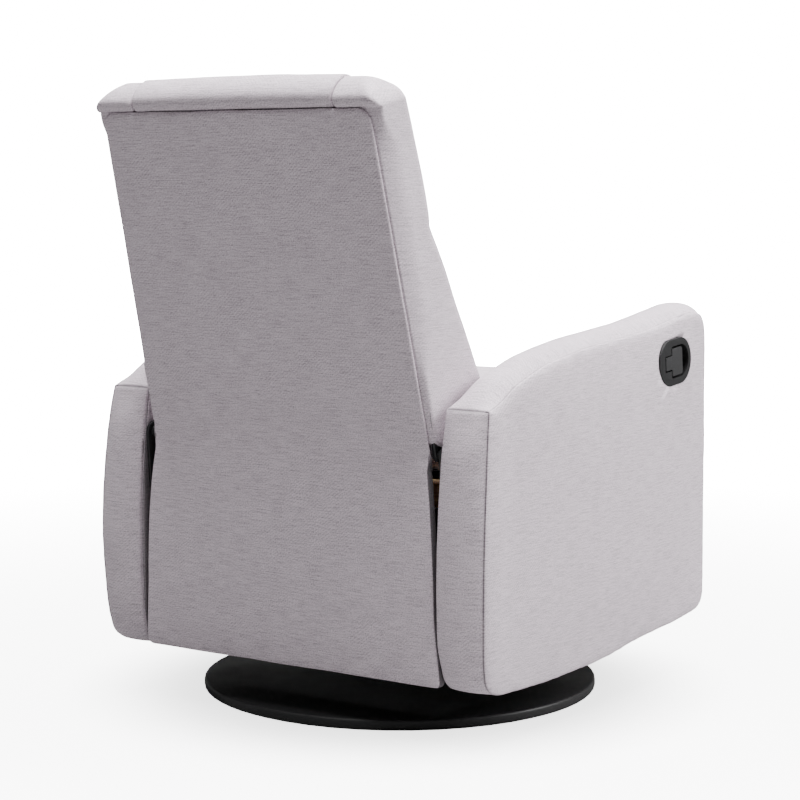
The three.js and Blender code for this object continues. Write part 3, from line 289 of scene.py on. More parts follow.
base_tone = tint(grain, ramp(grain, fine, 0.3, 0.7, 0.0, 0.25), given["Base"], given["Scuff"])
grain.links.new(tint(grain, scuffed, base_tone, given["Scuff"]), grain_out.inputs["Color"])
patches = sums(grain, "ADD", ramp(grain, cloud, 0.3, 0.7, -0.5, 0.5), ramp(grain, fine, 0.3, 0.7, -0.3, 0.3))
uneven = sums(grain, "MULTIPLY", given["Spread"], patches)
grain.links.new(sums(grain, "ADD", given["Roughness"], uneven), grain_out.inputs["Roughness"])
grain.links.new(fine, grain_out.inputs["Height"])
print("grain nodes", len(grain.nodes))


# %% Materials from the grain group
def coat(name, base, scuff, roughness, metallic=0.0, grain_size=0.0012, scuffs=0.3, bump_depth=0.00008,
         spread=0.1, specular=0.5):
    """A painted, plated or moulded finish with a fine grain."""
    material, tree, shader = new_material(name, base)
    group = add(tree, "ShaderNodeGroup", node_tree=grain)
    for label, value in (("Base", base), ("Scuff", scuff), ("Grain Size", grain_size), ("Scuffs", scuffs),
                         ("Roughness", roughness), ("Spread", spread)):
        group.inputs[label].default_value = value
    bump = add(tree, "ShaderNodeBump", {"Height": group.outputs["Height"], "Strength": 0.5,
                                        "Distance": bump_depth})
    tree.links.new(group.outputs["Color"], shader.inputs["Base Color"])
    tree.links.new(group.outputs["Roughness"], shader.inputs["Roughness"])
    tree.links.new(bump.outputs[0], shader.inputs["Normal"])
    shader.inputs["Metallic"].default_value = metallic
    shader.inputs["Specular IOR Level"].default_value = specular
    return material


black_steel = coat("black_powder_coat", rgb(30, 30, 32), rgb(62, 62, 64), 0.42,
                   grain_size=0.0016, scuffs=0.35, bump_depth=0.00012)
zinc = coat("zinc_plate", rgb(176, 178, 182), rgb(128, 131, 136), 0.36,
            metallic=1.0, grain_size=0.0022, scuffs=0.4, bump_depth=0.00004)
spring_steel = coat("oiled_spring_wire", rgb(98, 100, 104), rgb(58, 58, 60), 0.34,
                    metallic=1.0, grain_size=0.001, scuffs=0.4)
disc_coat = coat("disc_coat", rgb(25, 25, 26), rgb(40, 40, 42), 0.5,
                 grain_size=0.0018, scuffs=0.25, bump_depth=0.0001, specular=0.4)
handle_plastic = coat("handle_plastic", rgb(32, 32, 33), rgb(50, 50, 51), 0.55,
                      grain_size=0.0009, scuffs=0.2, bump_depth=0.00014, specular=0.18)
paddle_plastic = coat("paddle_plastic", rgb(44, 44, 45), rgb(66, 66, 67), 0.5,
                      grain_size=0.0009, scuffs=0.25, bump_depth=0.00012, specular=0.2)
pad_rubber = coat("pad_rubber", rgb(28, 28, 28), rgb(46, 45, 44), 0.85,
                  grain_size=0.002, scuffs=0.3, bump_depth=0.0002)
cable_sheath = coat("cable_sheath", rgb(24, 24, 25), rgb(46, 46, 47), 0.6,
                    grain_size=0.0008, scuffs=0.2)
print("materials", len(bpy.data.materials))

# %% [markdown]
# ## Raw boards
# The frame is plywood and softwood. Growth rings are a wave whose place is shaken by noise, stretched
# along the board. Boards in this chair run across it or up it, so one material has its grain along X and
# the other along Z.


# %% Materials: wood
def board_wood(name, stretch):
    """Raw board, with the grain along the way in which its stretch is smallest."""
    material, tree, shader = new_material(name, rgb(206, 172, 126))
    place = add(tree, "ShaderNodeTexCoord").outputs["Object"]
    mapped = result(tree, "ShaderNodeMapping", {"Vector": place, "Scale": stretch})
    rings = result(tree, "ShaderNodeTexNoise",
                   {"Vector": mapped, "Scale": 1.0, "Detail": 5.0, "Distortion": 0.6})
    pores = result(tree, "ShaderNodeTexNoise", {"Vector": mapped, "Scale": 7.0, "Detail": 2.0})
    bands = sums(tree, "MULTIPLY_ADD", sums(tree, "SINE", sums(tree, "MULTIPLY", rings, 34.0)), 0.5, 0.5)
    tone = tint(tree, sums(tree, "MULTIPLY_ADD", bands, 0.4, ramp(tree, pores, 0.4, 0.7, 0.0, 0.4)),
                rgb(222, 191, 146), rgb(170, 126, 78))
    bump = add(tree, "ShaderNodeBump", {"Height": pores, "Strength": 0.4, "Distance": 0.0003})
    tree.links.new(tone, shader.inputs["Base Color"])
    tree.links.new(ramp(tree, bands, 0.0, 1.0, 0.62, 0.78), shader.inputs["Roughness"])
    tree.links.new(bump.outputs[0], shader.inputs["Normal"])
    return material


wood_across = board_wood("board_across", (3, 38, 38))
wood_along = board_wood("board_along", (38, 3, 38))
wood_upright = board_wood("board_upright", (38, 38, 3))
print("materials", len(bpy.data.materials))

# %% [markdown]
# ## Meshes from rings
# Most covers here are lofts: closed rings of points, laid one after another and joined with faces. Rings
# can be packed close together where a seam needs a crisp groove and spread out where the cloth is calm,
# which a subdivided cube can't do. The last ring at each end closes to one point.


# %% Loft helpers
def mesh_object(name, points, faces):
    """A mesh object at the origin, with its normals turned outward."""
    mesh = bpy.data.meshes.new(name)
    mesh.from_pydata([tuple(p) for p in points], [], faces)
    mesh.validate()
    work = bmesh.new()
    work.from_mesh(mesh)
    bmesh.ops.remove_doubles(work, verts=work.verts, dist=1e-6)
    bmesh.ops.recalc_face_normals(work, faces=work.faces)
    work.to_mesh(mesh)
    work.free()
    mesh.polygons.foreach_set("use_smooth", [True] * len(mesh.polygons))
    made = bpy.data.objects.new(name, mesh)
    bpy.context.scene.collection.objects.link(made)
    return made


def loft(name, rings):
    """A closed body from rings, an array of ring, point and X, Y, Z."""
    rings = np.asarray(rings, float)
    count, around, _ = rings.shape
    points = list(rings.reshape(-1, 3)) + [rings[0].mean(0), rings[-1].mean(0)]
    faces = []
    for r in range(count - 1):
        for i in range(around):
            j = (i + 1) % around
            faces.append((r * around + i, r * around + j, (r + 1) * around + j, (r + 1) * around + i))
    for i in range(around):
        j = (i + 1) % around
        faces.append((j, i, count * around))
        faces.append(((count - 1) * around + i, (count - 1) * around + j, count * around + 1))
    return mesh_object(name, points, faces)


def smooth_closed(points, spacing, corners=(), fine=0.0012, reach=0.012):
    """Points on a smooth closed curve. At a corner the curve stays sharp and its points lie closer."""
    points = np.asarray(points, float)
    n = len(points)
    steps = 40
    out = []
    for i in range(n):
        p0, p1, p2, p3 = (points[(i + k - 1) % n] for k in range(4))
        if i in corners:
            p0 = 2 * p1 - p2
        if (i + 1) % n in corners:
            p3 = 2 * p2 - p1
        d0, d1, d2 = (max(1e-6, np.linalg.norm(q)) ** 0.5 for q in (p1 - p0, p2 - p1, p3 - p2))
        leaving = d1 * ((p1 - p0) / d0 - (p2 - p0) / (d0 + d1) + (p2 - p1) / d1)
        arriving = d1 * ((p2 - p1) / d1 - (p3 - p1) / (d1 + d2) + (p3 - p2) / d2)
        t = np.linspace(0, 1, steps, endpoint=False)[:, None]
        out.append((2 * t ** 3 - 3 * t ** 2 + 1) * p1 + (t ** 3 - 2 * t ** 2 + t) * leaving
                   + (3 * t ** 2 - 2 * t ** 3) * p2 + (t ** 3 - t ** 2) * arriving)
    dense = np.vstack(out)
    closed = np.vstack([dense, dense[:1]])
    run = np.r_[0, np.cumsum(np.linalg.norm(np.diff(closed, axis=0), axis=1))]
    marks = [run[i * steps] for i in corners]
    stops, walked = [], 0.0
    while walked < run[-1] - spacing / 3:
        stops.append(walked)
        near = min([min(abs(walked - m), run[-1] - abs(walked - m)) for m in marks] or [1.0])
        walked += spacing if near > reach else max(fine, spacing * near / reach)
    return np.column_stack([np.interp(stops, run, closed[:, k]) for k in range(2)])


def outward(outline):
    """The outward normals of a closed 2-D outline."""
    ahead, behind = np.roll(outline, -1, 0), np.roll(outline, 1, 0)
    tangent = ahead - behind
    normal = np.column_stack([tangent[:, 1], -tangent[:, 0]])
    normal /= np.linalg.norm(normal, axis=1)[:, None]
    area = np.sum(outline[:, 0] * ahead[:, 1] - ahead[:, 0] * outline[:, 1])
    return normal * np.sign(area)


def soft_noise(points, scale, seed):
    """Smooth noise from -1 to 1 at each point."""
    shift = Vector((seed * 7.31, seed * 3.17, seed * 5.77))
    return np.array([noise.noise(Vector(p) * scale + shift) for p in points])


def points_of(piece):
    """A mesh's points as an array."""
    flat = np.zeros(len(piece.data.vertices) * 3)
    piece.data.vertices.foreach_get("co", flat)
    return flat.reshape(-1, 3)


def normals_of(piece):
    """A mesh's vertex normals as an array."""
    flat = np.zeros(len(piece.data.vertices) * 3)
    piece.data.vertices.foreach_get("normal", flat)
    return flat.reshape(-1, 3)


def move_points(piece, points):
    """Puts new points into a mesh."""
    piece.data.vertices.foreach_set("co", np.asarray(points, float).ravel())
    piece.data.update()


def placed_shares(shares, front, rear, low, high):
    """Outline points, from shares of a depth and of a height."""
    return [(front + a * (rear - front), low + b * (high - low)) for a, b in shares]


square = smooth_closed([(0, 0), (0.1, 0), (0.1, 0.1), (0, 0.1)], 0.01)
print("a square's smooth outline has", len(square), "points")


# %% Finishing helpers
def weave_map(piece):
    """A UV map in metres: threads run across faces that look to the front, rear, side or up."""
    mesh = piece.data
    while mesh.uv_layers:
        mesh.uv_layers.remove(mesh.uv_layers[0])
    layer = mesh.uv_layers.new(name="cloth")
    normals = np.zeros(len(mesh.polygons) * 3)
    mesh.polygons.foreach_get("normal", normals)
    totals = np.zeros(len(mesh.polygons), int)
    mesh.polygons.foreach_get("loop_total", totals)
    facing = np.repeat(np.abs(normals.reshape(-1, 3)).argmax(1), totals)
    corner = np.zeros(len(mesh.loops), int)
    mesh.loops.foreach_get("vertex_index", corner)
    p = points_of(piece)[corner]
    u = np.where(facing == 0, p[:, 1], p[:, 0])
    v = np.where(facing == 2, p[:, 1], p[:, 2])
    layer.data.foreach_set("uv", np.column_stack([u, v]).astype(np.float32).ravel())


def mark_seam_shade(piece, values):
    """Keeps, for each point, how much painted shade it gets, from 0 to 1: how deep in a seam it lies, or how
    far into a shadowed gap.
    """
    attribute = piece.data.attributes.get("seam") or piece.data.attributes.new("seam", "FLOAT", "POINT")
    attribute.data.foreach_set("value", np.clip(values, 0, 1).astype(np.float32))


def dress(piece, material, body, slot, *nodes):
    """Gives a finished piece its material and body, and hides the CAD nodes that it stands in for. The slot
    is not used.
    """
    piece.data.materials.clear()
    piece.data.materials.append(material)
    if body:
        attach(piece, body)
    if nodes:
        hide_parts(*nodes)
    print(piece.name, "faces", len(piece.data.polygons))
    return piece


def sewn(piece, body, *nodes, seams=None):
    """Finishes a cloth piece."""
    mark_seam_shade(piece, np.zeros(len(piece.data.vertices)) if seams is None else seams)
    weave_map(piece)
    return dress(piece, upholstery, body, "upholstery", *nodes)


def baked(piece):
    """The piece with its modifiers applied."""
    done = bpy.data.meshes.new_from_object(piece.evaluated_get(bpy.context.evaluated_depsgraph_get()))
    old = piece.data
    piece.modifiers.clear()
    piece.data = done
    bpy.data.meshes.remove(old)
    done.name = piece.name
    return piece


print("seams are kept in the attribute seam")

# %% [markdown]
# ## The arms
# Each arm is a board, padded and covered: an inner face, an outer face and one band sewn between them,
# which runs up the rear, over the top and down the front. The band bulges, the outer face is crowned, and
# the cloth dives into the seams. Rings follow the arm's side outline, from the inner face across the band
# to the outer face, with rings close together at each seam to make the groove.

# %% Arm outline
HANDLE_AT = np.array([-0.279, 0.5725])
HANDLE_TILT = math.radians(5)
HANDLE_FACE = 0.3965
HANDLE_RADIUS, HANDLE_HALF, BOWL_RADIUS = 0.0405, 0.0185, 0.0305
BAND_WIDTH = 0.078
ARM_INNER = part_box("arm_cover_left")[0].x
ARM_SEAM = ARM_INNER + BAND_WIDTH
ARM_FRONT, ARM_REAR, ARM_FOOT, ARM_TOP = -0.428, 0.327, 0.079, 0.654
arm_shares = [
    (0.987, 0.797), (0.936, 0.821), (0.893, 0.85), (0.836, 0.875), (0.755, 0.903), (0.673, 0.92),
    (0.575, 0.936), (0.446, 0.948), (0.314, 0.963), (0.168, 0.991), (0.11, 1), (0.058, 0.999),
    (0.031, 0.990), (0.016, 0.969), (0.009, 0.938), (0.006, 0.895), (0.005, 0.718), (0.003, 0.525),
    (0, 0.139), (0.001, 0.103), (0.011, 0.073), (0.03, 0.057), (0.064, 0.049), (0.136, 0.04),
    (0.258, 0.033), (0.376, 0.021), (0.433, 0.012), (0.544, 0.003), (0.652, 0.002), (0.705, 0),
    (0.805, 0.003), (0.905, 0.009), (0.944, 0.014), (0.975, 0.026), (0.993, 0.05), (1, 0.097),
    (1, 0.245), (0.997, 0.437), (0.991, 0.645)]
arm_outline = smooth_closed(placed_shares(arm_shares, ARM_FRONT, ARM_REAR, ARM_FOOT, ARM_TOP), 0.0052,
                            corners=(0,))
arm_normals = outward(arm_outline)
arm_middle = np.array(placed_shares([(0.5, 0.47)], ARM_FRONT, ARM_REAR, ARM_FOOT, ARM_TOP)[0])
arm_corner = arm_outline[0]
print("arm outline points", len(arm_outline))


# %% Arm skin
def calm(values, spread=10):
    """A closed row of values, each averaged with its neighbours."""
    return sum(np.roll(values, k, 0) for k in range(-spread, spread + 1)) / (2 * spread + 1)


arm_reach = calm(np.sum((arm_outline - arm_middle) * arm_normals, axis=1))


def eased_share(value):
    """A share from 0 to 1 that starts and ends slowly."""
    value = np.clip(value, 0, 1)
    return value * value * (3 - 2 * value)


# How far the band's middle swells on top and at its ends, how far the outer face is crowned, and how far the
# stuffed rear band bulges over its inner seam.
TOP_SWELL, END_SWELL, FACE_CROWN, LIP = 0.016, 0.012, 0.0130, 0.006
# A small tuck in the outer seam, on top, above the handle's front end: its place, width and depth.
TUCK_AT, TUCK_WIDTH, TUCK_DEPTH = -0.325, 0.013, 0.0032


def arm_rings():
    """The rings of a left arm, and how deep in a seam each point lies."""
    from_corner = np.linalg.norm(arm_outline - arm_corner, axis=1)
    cross_seam = np.exp(-(from_corner / 0.0021) ** 2)
    top_held = 1 - 0.88 * np.exp(-(from_corner / 0.032) ** 2)
    end_held = 1 - 0.85 * np.exp(-(from_corner / 0.045) ** 2)
    top_swell = TOP_SWELL * np.clip(arm_normals[:, 1], 0, 1) ** 2 * top_held
    end_swell = END_SWELL * arm_normals[:, 0] ** 2 * end_held
    swell = calm(top_swell + end_swell, 2)
    tuck = np.exp(-((arm_outline[:, 0] - TUCK_AT) / TUCK_WIDTH) ** 2) * (arm_outline[:, 1] > 0.6)
    rings, seams = [], []

    def ring(x, inset, seam=0.0, rise=0.0):
        share = 1 - np.asarray(inset) / arm_reach
        flat = arm_middle + np.reshape(share, (-1, 1)) * (arm_outline - arm_middle)
        flat = flat + arm_normals * np.reshape(rise, (-1, 1))
        rings.append(np.column_stack([np.broadcast_to(x, len(flat)), flat]))
        seams.append(np.broadcast_to(seam, len(flat)).astype(float))

    def face_crown(inset):
        flat = arm_middle + (1 - inset / arm_reach)[:, None] * (arm_outline - arm_middle)
        middle, half = (arm_outline.max(0) + arm_outline.min(0)) / 2, np.ptp(arm_outline, axis=0) / 2
        a, b = (np.abs((flat - middle) / half) ** 2.6).T
        return FACE_CROWN * (1 - a) * (1 - b) * (1 - np.exp(-inset / 0.035))

    for share in (0.1, 0.3, 0.5, 0.7, 0.84, 0.92, 0.96):
        ring(ARM_INNER + 0.0006, (1 - share) * arm_reach)
    ring(ARM_INNER + 0.0003, 0.0046)
    ring(ARM_INNER + 0.0012, 0.0018)
    ring(ARM_INNER + 0.0024, 0.0034, 1)
    ring(ARM_INNER + 0.0036, 0.0008)
    first, last = ARM_INNER + 0.0036, ARM_SEAM - 0.0013
    behind = np.clip((arm_normals[:, 0] - 0.6) / 0.35, 0, 1)
    plump = calm(behind * eased_share((arm_outline[:, 1] - 0.105) / 0.07)
                 * eased_share((0.63 - arm_outline[:, 1]) / 0.2), 4)
    for across in (0.012, 0.03, 0.06, 0.1, 0.15, 0.22, 0.3, 0.39, 0.48, 0.57, 0.66, 0.74, 0.81, 0.87, 0.92,
                   0.955, 0.98, 0.994, 1):
        bulge = 1 - abs(2 * across - 1) ** 2.4
        lip = plump * min(1.0, across / 0.06) ** 0.6 * (1 - across) ** 3
        ring(first + across * (last - first) - LIP * lip, 0, cross_seam,
             swell * bulge + 0.005 * lip - 0.0022 * cross_seam)
    ring(ARM_SEAM, 0.0030 + 0.0024 * tuck, 1)
    deep = TUCK_DEPTH * tuck
    for inset in (0.0006, 0.0026, 0.005, 0.008, 0.012, 0.017, 0.023, 0.030):
        x = ARM_SEAM + 0.0012 + 0.0042 * (1 - math.exp(-inset / 0.006)) + face_crown(inset + 0 * arm_reach)
        near = math.exp(-inset / 0.003)
        ring(x - 0.0008 * tuck * near, inset + deep * near, 0.4 * tuck * near)
    for share in (0.86, 0.81, 0.75, 0.68, 0.6, 0.51, 0.41, 0.3, 0.19, 0.08):
        ring(ARM_SEAM + 0.0054 + face_crown((1 - share) * arm_reach), (1 - share) * arm_reach)
    return np.array(rings), np.array(seams)


left_rings, left_seams = arm_rings()
print("arm rings", left_rings.shape)


def creased(points, piece_seed, depth=0.0009):
    """Small uneven swells, as padding gives under cloth."""
    return (soft_noise(points, 9, piece_seed) * 1.3 + soft_noise(points, 28, piece_seed + 1) * 0.45) * depth


# How far the stuffing pushes the rear band back, how much more at its outer side, and how far it pushes the
# outer face's rear edge out. It starts at a height above the floor and ends at the arm's rear top corner.
REAR_STUFFING, OUTER_STUFFING, SIDE_STUFFING = 0.0135, 0.005, 0.009
STUFFED_FROM = 0.098


def arm_cover(name, side):
    """One arm's cover, ready for its cuts, such as the foot's hollow."""
    rings, seams = left_rings.copy(), left_seams
    rings[..., 0] *= side
    piece = loft(name, rings)
    p = points_of(piece)
    nearness = np.exp(-np.abs(np.abs(p[:, 0]) - ARM_SEAM) / 0.012)
    puckers = soft_noise(p, 70, 3 + side) * 0.0007 * nearness
    inside = np.abs(p[:, 0]) < ARM_INNER + 0.002
    lifts = (creased(p, 11 + side) + puckers) * ~inside
    p = p + normals_of(piece) * lifts[:, None]
    height = np.clip((p[:, 2] - STUFFED_FROM) / (arm_corner[1] - STUFFED_FROM), 0, 1)
    stuffed = np.sin(math.pi * height) ** 0.8
    across = eased_share((np.abs(p[:, 0]) - ARM_INNER) / 0.05)
    p[:, 1] += (REAR_STUFFING + OUTER_STUFFING * across) * stuffed * eased_share((p[:, 1] - 0.20) / 0.12)
    outer_edge = eased_share((np.abs(p[:, 0]) - 0.345) / 0.03) * eased_share((p[:, 1] - 0.25) / 0.07)
    p[:, 0] += side * SIDE_STUFFING * stuffed * outer_edge
    if side < 0:
        from_handle = np.hypot(p[:, 1] - HANDLE_AT[0], p[:, 2] - HANDLE_AT[1])
        p[:, 0] -= 0.0045 * np.exp(-(from_handle / 0.085) ** 2) * (p[:, 0] < -ARM_SEAM - 0.003)
    move_points(piece, p)
    # Painted shadow: the arm's inner wall, in the gap beside the rear panel, is darkened more the further
    # forward it lies, and the darkening fades out above the crease's height.
    painted_gap_shadow = (np.abs(p[:, 0]) < ARM_INNER + 0.0016) * np.clip((0.344 - p[:, 1]) / 0.014, 0, 1)
    painted_gap_shadow = painted_gap_shadow * (p[:, 1] > 0.2) * np.clip((0.485 - p[:, 2]) / 0.02, 0, 1)
    mark_seam_shade(piece, np.maximum(np.r_[seams.ravel(), 0, 0], painted_gap_shadow))
    return piece


def prism(name, outline, x_from, x_to):
    """A straight-sided body between two places along X, for cutting and joining."""
    flat = np.asarray(outline, float)
    return loft(name, [np.column_stack([np.full(len(flat), x), flat]) for x in (x_from, x_to)])


def cut_with(piece, *tools, operation="DIFFERENCE"):
    """Cuts the tools out of a piece, or joins them to it, and removes the tools."""
    for tool in tools:
        modifier = piece.modifiers.new("cut", "BOOLEAN")
        modifier.object, modifier.operation, modifier.solver = tool, operation, "EXACT"
        baked(piece)
        bpy.data.objects.remove(tool)
    return piece


# %% [markdown]
# ## Cutting the arms
# Underneath, an arm is open, and its board shows in the hollow. The right arm also has the recess for the
# release handle. Both are cut with boolean tools, which keep the body closed. The handle's outlines are
# drawn in the handle's own tilted frame.

# %% Handle outlines
def in_handle(points):
    """Points of the handle's frame, rear and up, as Y and Z."""
    p = np.asarray(points, float)
    cosine, sine = math.cos(HANDLE_TILT), math.sin(HANDLE_TILT)
    rear, up = p[:, 0] * cosine + p[:, 1] * sine, -p[:, 0] * sine + p[:, 1] * cosine
    return HANDLE_AT + np.column_stack([rear, up])


def slot_shape(radius, half, steps=36):
    """A long shape with round ends."""
    a = np.linspace(-math.pi / 2, math.pi / 2, steps)
    rear = np.column_stack([half + radius * np.cos(a), radius * np.sin(a)])
    return np.vstack([rear, -rear])


def rounded(corners, steps=9):
    """A closed outline from corners of (y, z, radius)."""
    out = []
    n = len(corners)
    for i, (y, z, radius) in enumerate(corners):
        here = np.array([y, z])
        if radius <= 0:
            out.append(here)
            continue
        before = np.array(corners[i - 1][:2]) - here
        after = np.array(corners[(i + 1) % n][:2]) - here
        b, a = before / np.linalg.norm(before), after / np.linalg.norm(after)
        half = math.acos(np.clip(b @ a, -1, 1)) / 2
        centre = here + (b + a) / np.linalg.norm(b + a) * radius / math.sin(half)
        start, end = here + b * radius / math.tan(half), here + a * radius / math.tan(half)
        for t in np.linspace(0, 1, steps):
            spoke = (start - centre) * (1 - t) + (end - centre) * t
            out.append(centre + spoke / np.linalg.norm(spoke) * radius)
    return np.array(out)


hollow = [(-0.382, 0.06), (0.281, 0.06), (0.281, 0.491), (0.006, 0.571), (-0.345, 0.608), (-0.382, 0.608)]
HOLLOW_FROM, HOLLOW_TO = 0.3245, 0.36
left_arm = cut_with(arm_cover("arm_left_cover", 1), prism("hollow", hollow, HOLLOW_FROM, HOLLOW_TO))
right_arm = cut_with(
    arm_cover("arm_right_cover", -1), prism("hollow", hollow, -HOLLOW_FROM, -HOLLOW_TO),
    prism("recess", in_handle(slot_shape(HANDLE_RADIUS + 0.0004, HANDLE_HALF)), -0.42, -0.3862),
    prism("bowl_room", in_handle(slot_shape(BOWL_RADIUS + 0.0028, HANDLE_HALF)), -0.42, -0.3492))


def seam_of(piece):
    """The seam depths and painted gap shade that a piece still carries after its cuts."""
    values = np.zeros(len(piece.data.vertices), np.float32)
    if piece.data.attributes.get("seam"):
        piece.data.attributes["seam"].data.foreach_get("value", values)
    return values


sewn(left_arm, "chassis", "arm_cover_left", seams=seam_of(left_arm))
sewn(right_arm, "chassis", "arm_cover_right", seams=seam_of(right_arm))

# %% [markdown]
# ## The release handle
# A dark moulded bezel sits flush in the right arm. Its face has a T-shaped opening, and behind it a bowl
# leaves room for the fingers. The paddle fills the rear of the opening and swings out on a pin. Both are
# cut from prisms and then get a small bevel, because a moulded edge is never sharp.

# %% Bezel and paddle
PADDLE_FRONT, PADDLE_NECK, STEM_END = -0.027, 0.012, 0.035
PLATE_HALF, STEM_HALF, GAP, END_GAP = 0.0245, 0.012, 0.0024, 0.0042
open_half = PLATE_HALF + 0.004
arc = np.linspace(-math.pi / 2, -3 * math.pi / 2, 40)
front_arc = [(open_half * (1 + math.cos(a)) - 0.049, open_half * math.sin(a), 0) for a in arc]
opening = rounded(front_arc + [
    (PADDLE_NECK + END_GAP, open_half, 0.006), (PADDLE_NECK + END_GAP, STEM_HALF + GAP, 0.0008),
    (STEM_END + END_GAP, STEM_HALF + GAP, 0.0015), (STEM_END + END_GAP, -STEM_HALF - GAP, 0.0015),
    (PADDLE_NECK + END_GAP, -STEM_HALF - GAP, 0.0008), (PADDLE_NECK + END_GAP, -open_half, 0.006)])


def eased(piece, width, segments=3, angle=38):
    """Bevels a piece's sharp edges and applies it."""
    work = bmesh.new()
    work.from_mesh(piece.data)
    bmesh.ops.remove_doubles(work, verts=work.verts, dist=2e-6)
    bmesh.ops.dissolve_limit(work, angle_limit=math.radians(1.5), verts=work.verts, edges=work.edges)
    work.to_mesh(piece.data)
    work.free()
    bevel = piece.modifiers.new("bevel", "BEVEL")
    bevel.width, bevel.segments, bevel.limit_method = width, segments, "ANGLE"
    bevel.angle_limit, bevel.use_clamp_overlap = math.radians(angle), True
    baked(piece)
    piece.data.polygons.foreach_set("use_smooth", [True] * len(piece.data.polygons))
    piece.data.set_sharp_from_angle(angle=math.radians(42))
    return piece


bezel = prism("bezel", in_handle(slot_shape(HANDLE_RADIUS, HANDLE_HALF)), -HANDLE_FACE, -0.3865)
bowl = prism("bowl", in_handle(slot_shape(BOWL_RADIUS + 0.0025, HANDLE_HALF)), -0.391, -0.3495)
cut_with(bezel, bowl, operation="UNION")
cut_with(bezel, prism("opening", in_handle(opening), -0.41, -0.3935),
         prism("well", in_handle(slot_shape(BOWL_RADIUS, HANDLE_HALF)), -0.3945, -0.352))
dress(eased(bezel, 0.0011), handle_plastic, "chassis", "handle_plastic", "handle_bezel")

paddle_shape = rounded([
    (PADDLE_FRONT, -PLATE_HALF, 0.006), (PADDLE_NECK, -PLATE_HALF, 0.0028), (PADDLE_NECK, -STEM_HALF, 0.0008),
    (STEM_END, -STEM_HALF, 0.0022), (STEM_END, STEM_HALF, 0.0022), (PADDLE_NECK, STEM_HALF, 0.0008),
    (PADDLE_NECK, PLATE_HALF, 0.0028), (PADDLE_FRONT, PLATE_HALF, 0.006)])
paddle = prism("paddle", in_handle(paddle_shape), -HANDLE_FACE + 0.0005, -HANDLE_FACE + 0.0055)
dress(eased(paddle, 0.0009), paddle_plastic, "handle", "handle_plastic", "handle_paddle")

# %% [markdown]
# ## The rear cover
# One length of cloth covers the whole rear: the fixed panel between the arms, the crease behind the seat
# and the leaning panel above it. Its sides are folded over the frame's edge. The rings lie flat, one above
# the other, and each is a long, thin loop: the rear face, its folded sides and the hidden inner face.

# %% Rear cover sizes
CREASE = np.array([0.331, 0.470])
LEAN = math.radians(14.8)
BACK_LENGTH, LOWER_HALF, UPPER_HALF, PANEL_HALF = 0.5464, 0.280, 0.263, 0.3013
PANEL_FOOT, FOOT_ROUND, TOP_ROUND = 0.094, 0.011, 0.024
along_back = np.array([math.sin(LEAN), math.cos(LEAN)])
rear_of_back = np.array([math.cos(LEAN), -math.sin(LEAN)])


def from_back(y, z):
    """A place in the back's leaning frame, as Y and Z."""
    return CREASE + y * rear_of_back + z * along_back


def bent_line(run):
    """A place on the rear line at a distance from the crease, and the way that the face looks."""
    reach = 0.016
    share = np.clip((run + reach) / (2 * reach), 0, 1)
    angle = LEAN * share * share * (3 - 2 * share)
    slip = 0.0 if run < -reach or run > reach else 0.0012 * (1 - (run / reach) ** 2)
    base = CREASE + (along_back * run if run > 0 else np.array([0.0, run]))
    way = np.array([math.cos(angle), -math.sin(angle)])
    return base + way * slip, way


# %% Rear cover
foot_run = PANEL_FOOT - CREASE[1]


# From just above the crease the cover widens over this distance to the panel's full width at its foot, and
# between the crease and the foot it is drawn in a little.
SPREAD_FROM, SPREAD_OVER, WAIST = 0.006, 0.26, 0.0078


def rear_half(run):
    """Half the rear cover's width at a distance from the crease."""
    spread_share = min(1.0, max(0.0, (SPREAD_FROM - run) / SPREAD_OVER))
    spread = (PANEL_HALF - LOWER_HALF) * (1 - (1 - spread_share) ** 2)
    if run > 0:
        wide = LOWER_HALF + (UPPER_HALF - LOWER_HALF) * run / BACK_LENGTH + spread
        over = max(0.0, run - (BACK_LENGTH - TOP_ROUND)) / TOP_ROUND
        return wide - TOP_ROUND * (1 - math.sqrt(max(0.0, 1 - min(over, 1) ** 2)))
    share = min(1.0, max(0.0, run / foot_run))
    wide = LOWER_HALF + spread - WAIST * eased_share((1 - share) / 0.35) * eased_share(share / 0.1)
    drop = max(0.0, FOOT_ROUND - (run + CREASE[1] - PANEL_FOOT)) / FOOT_ROUND
    return wide - FOOT_ROUND * (1 - math.sqrt(max(0.0, 1 - min(drop, 1) ** 2)))


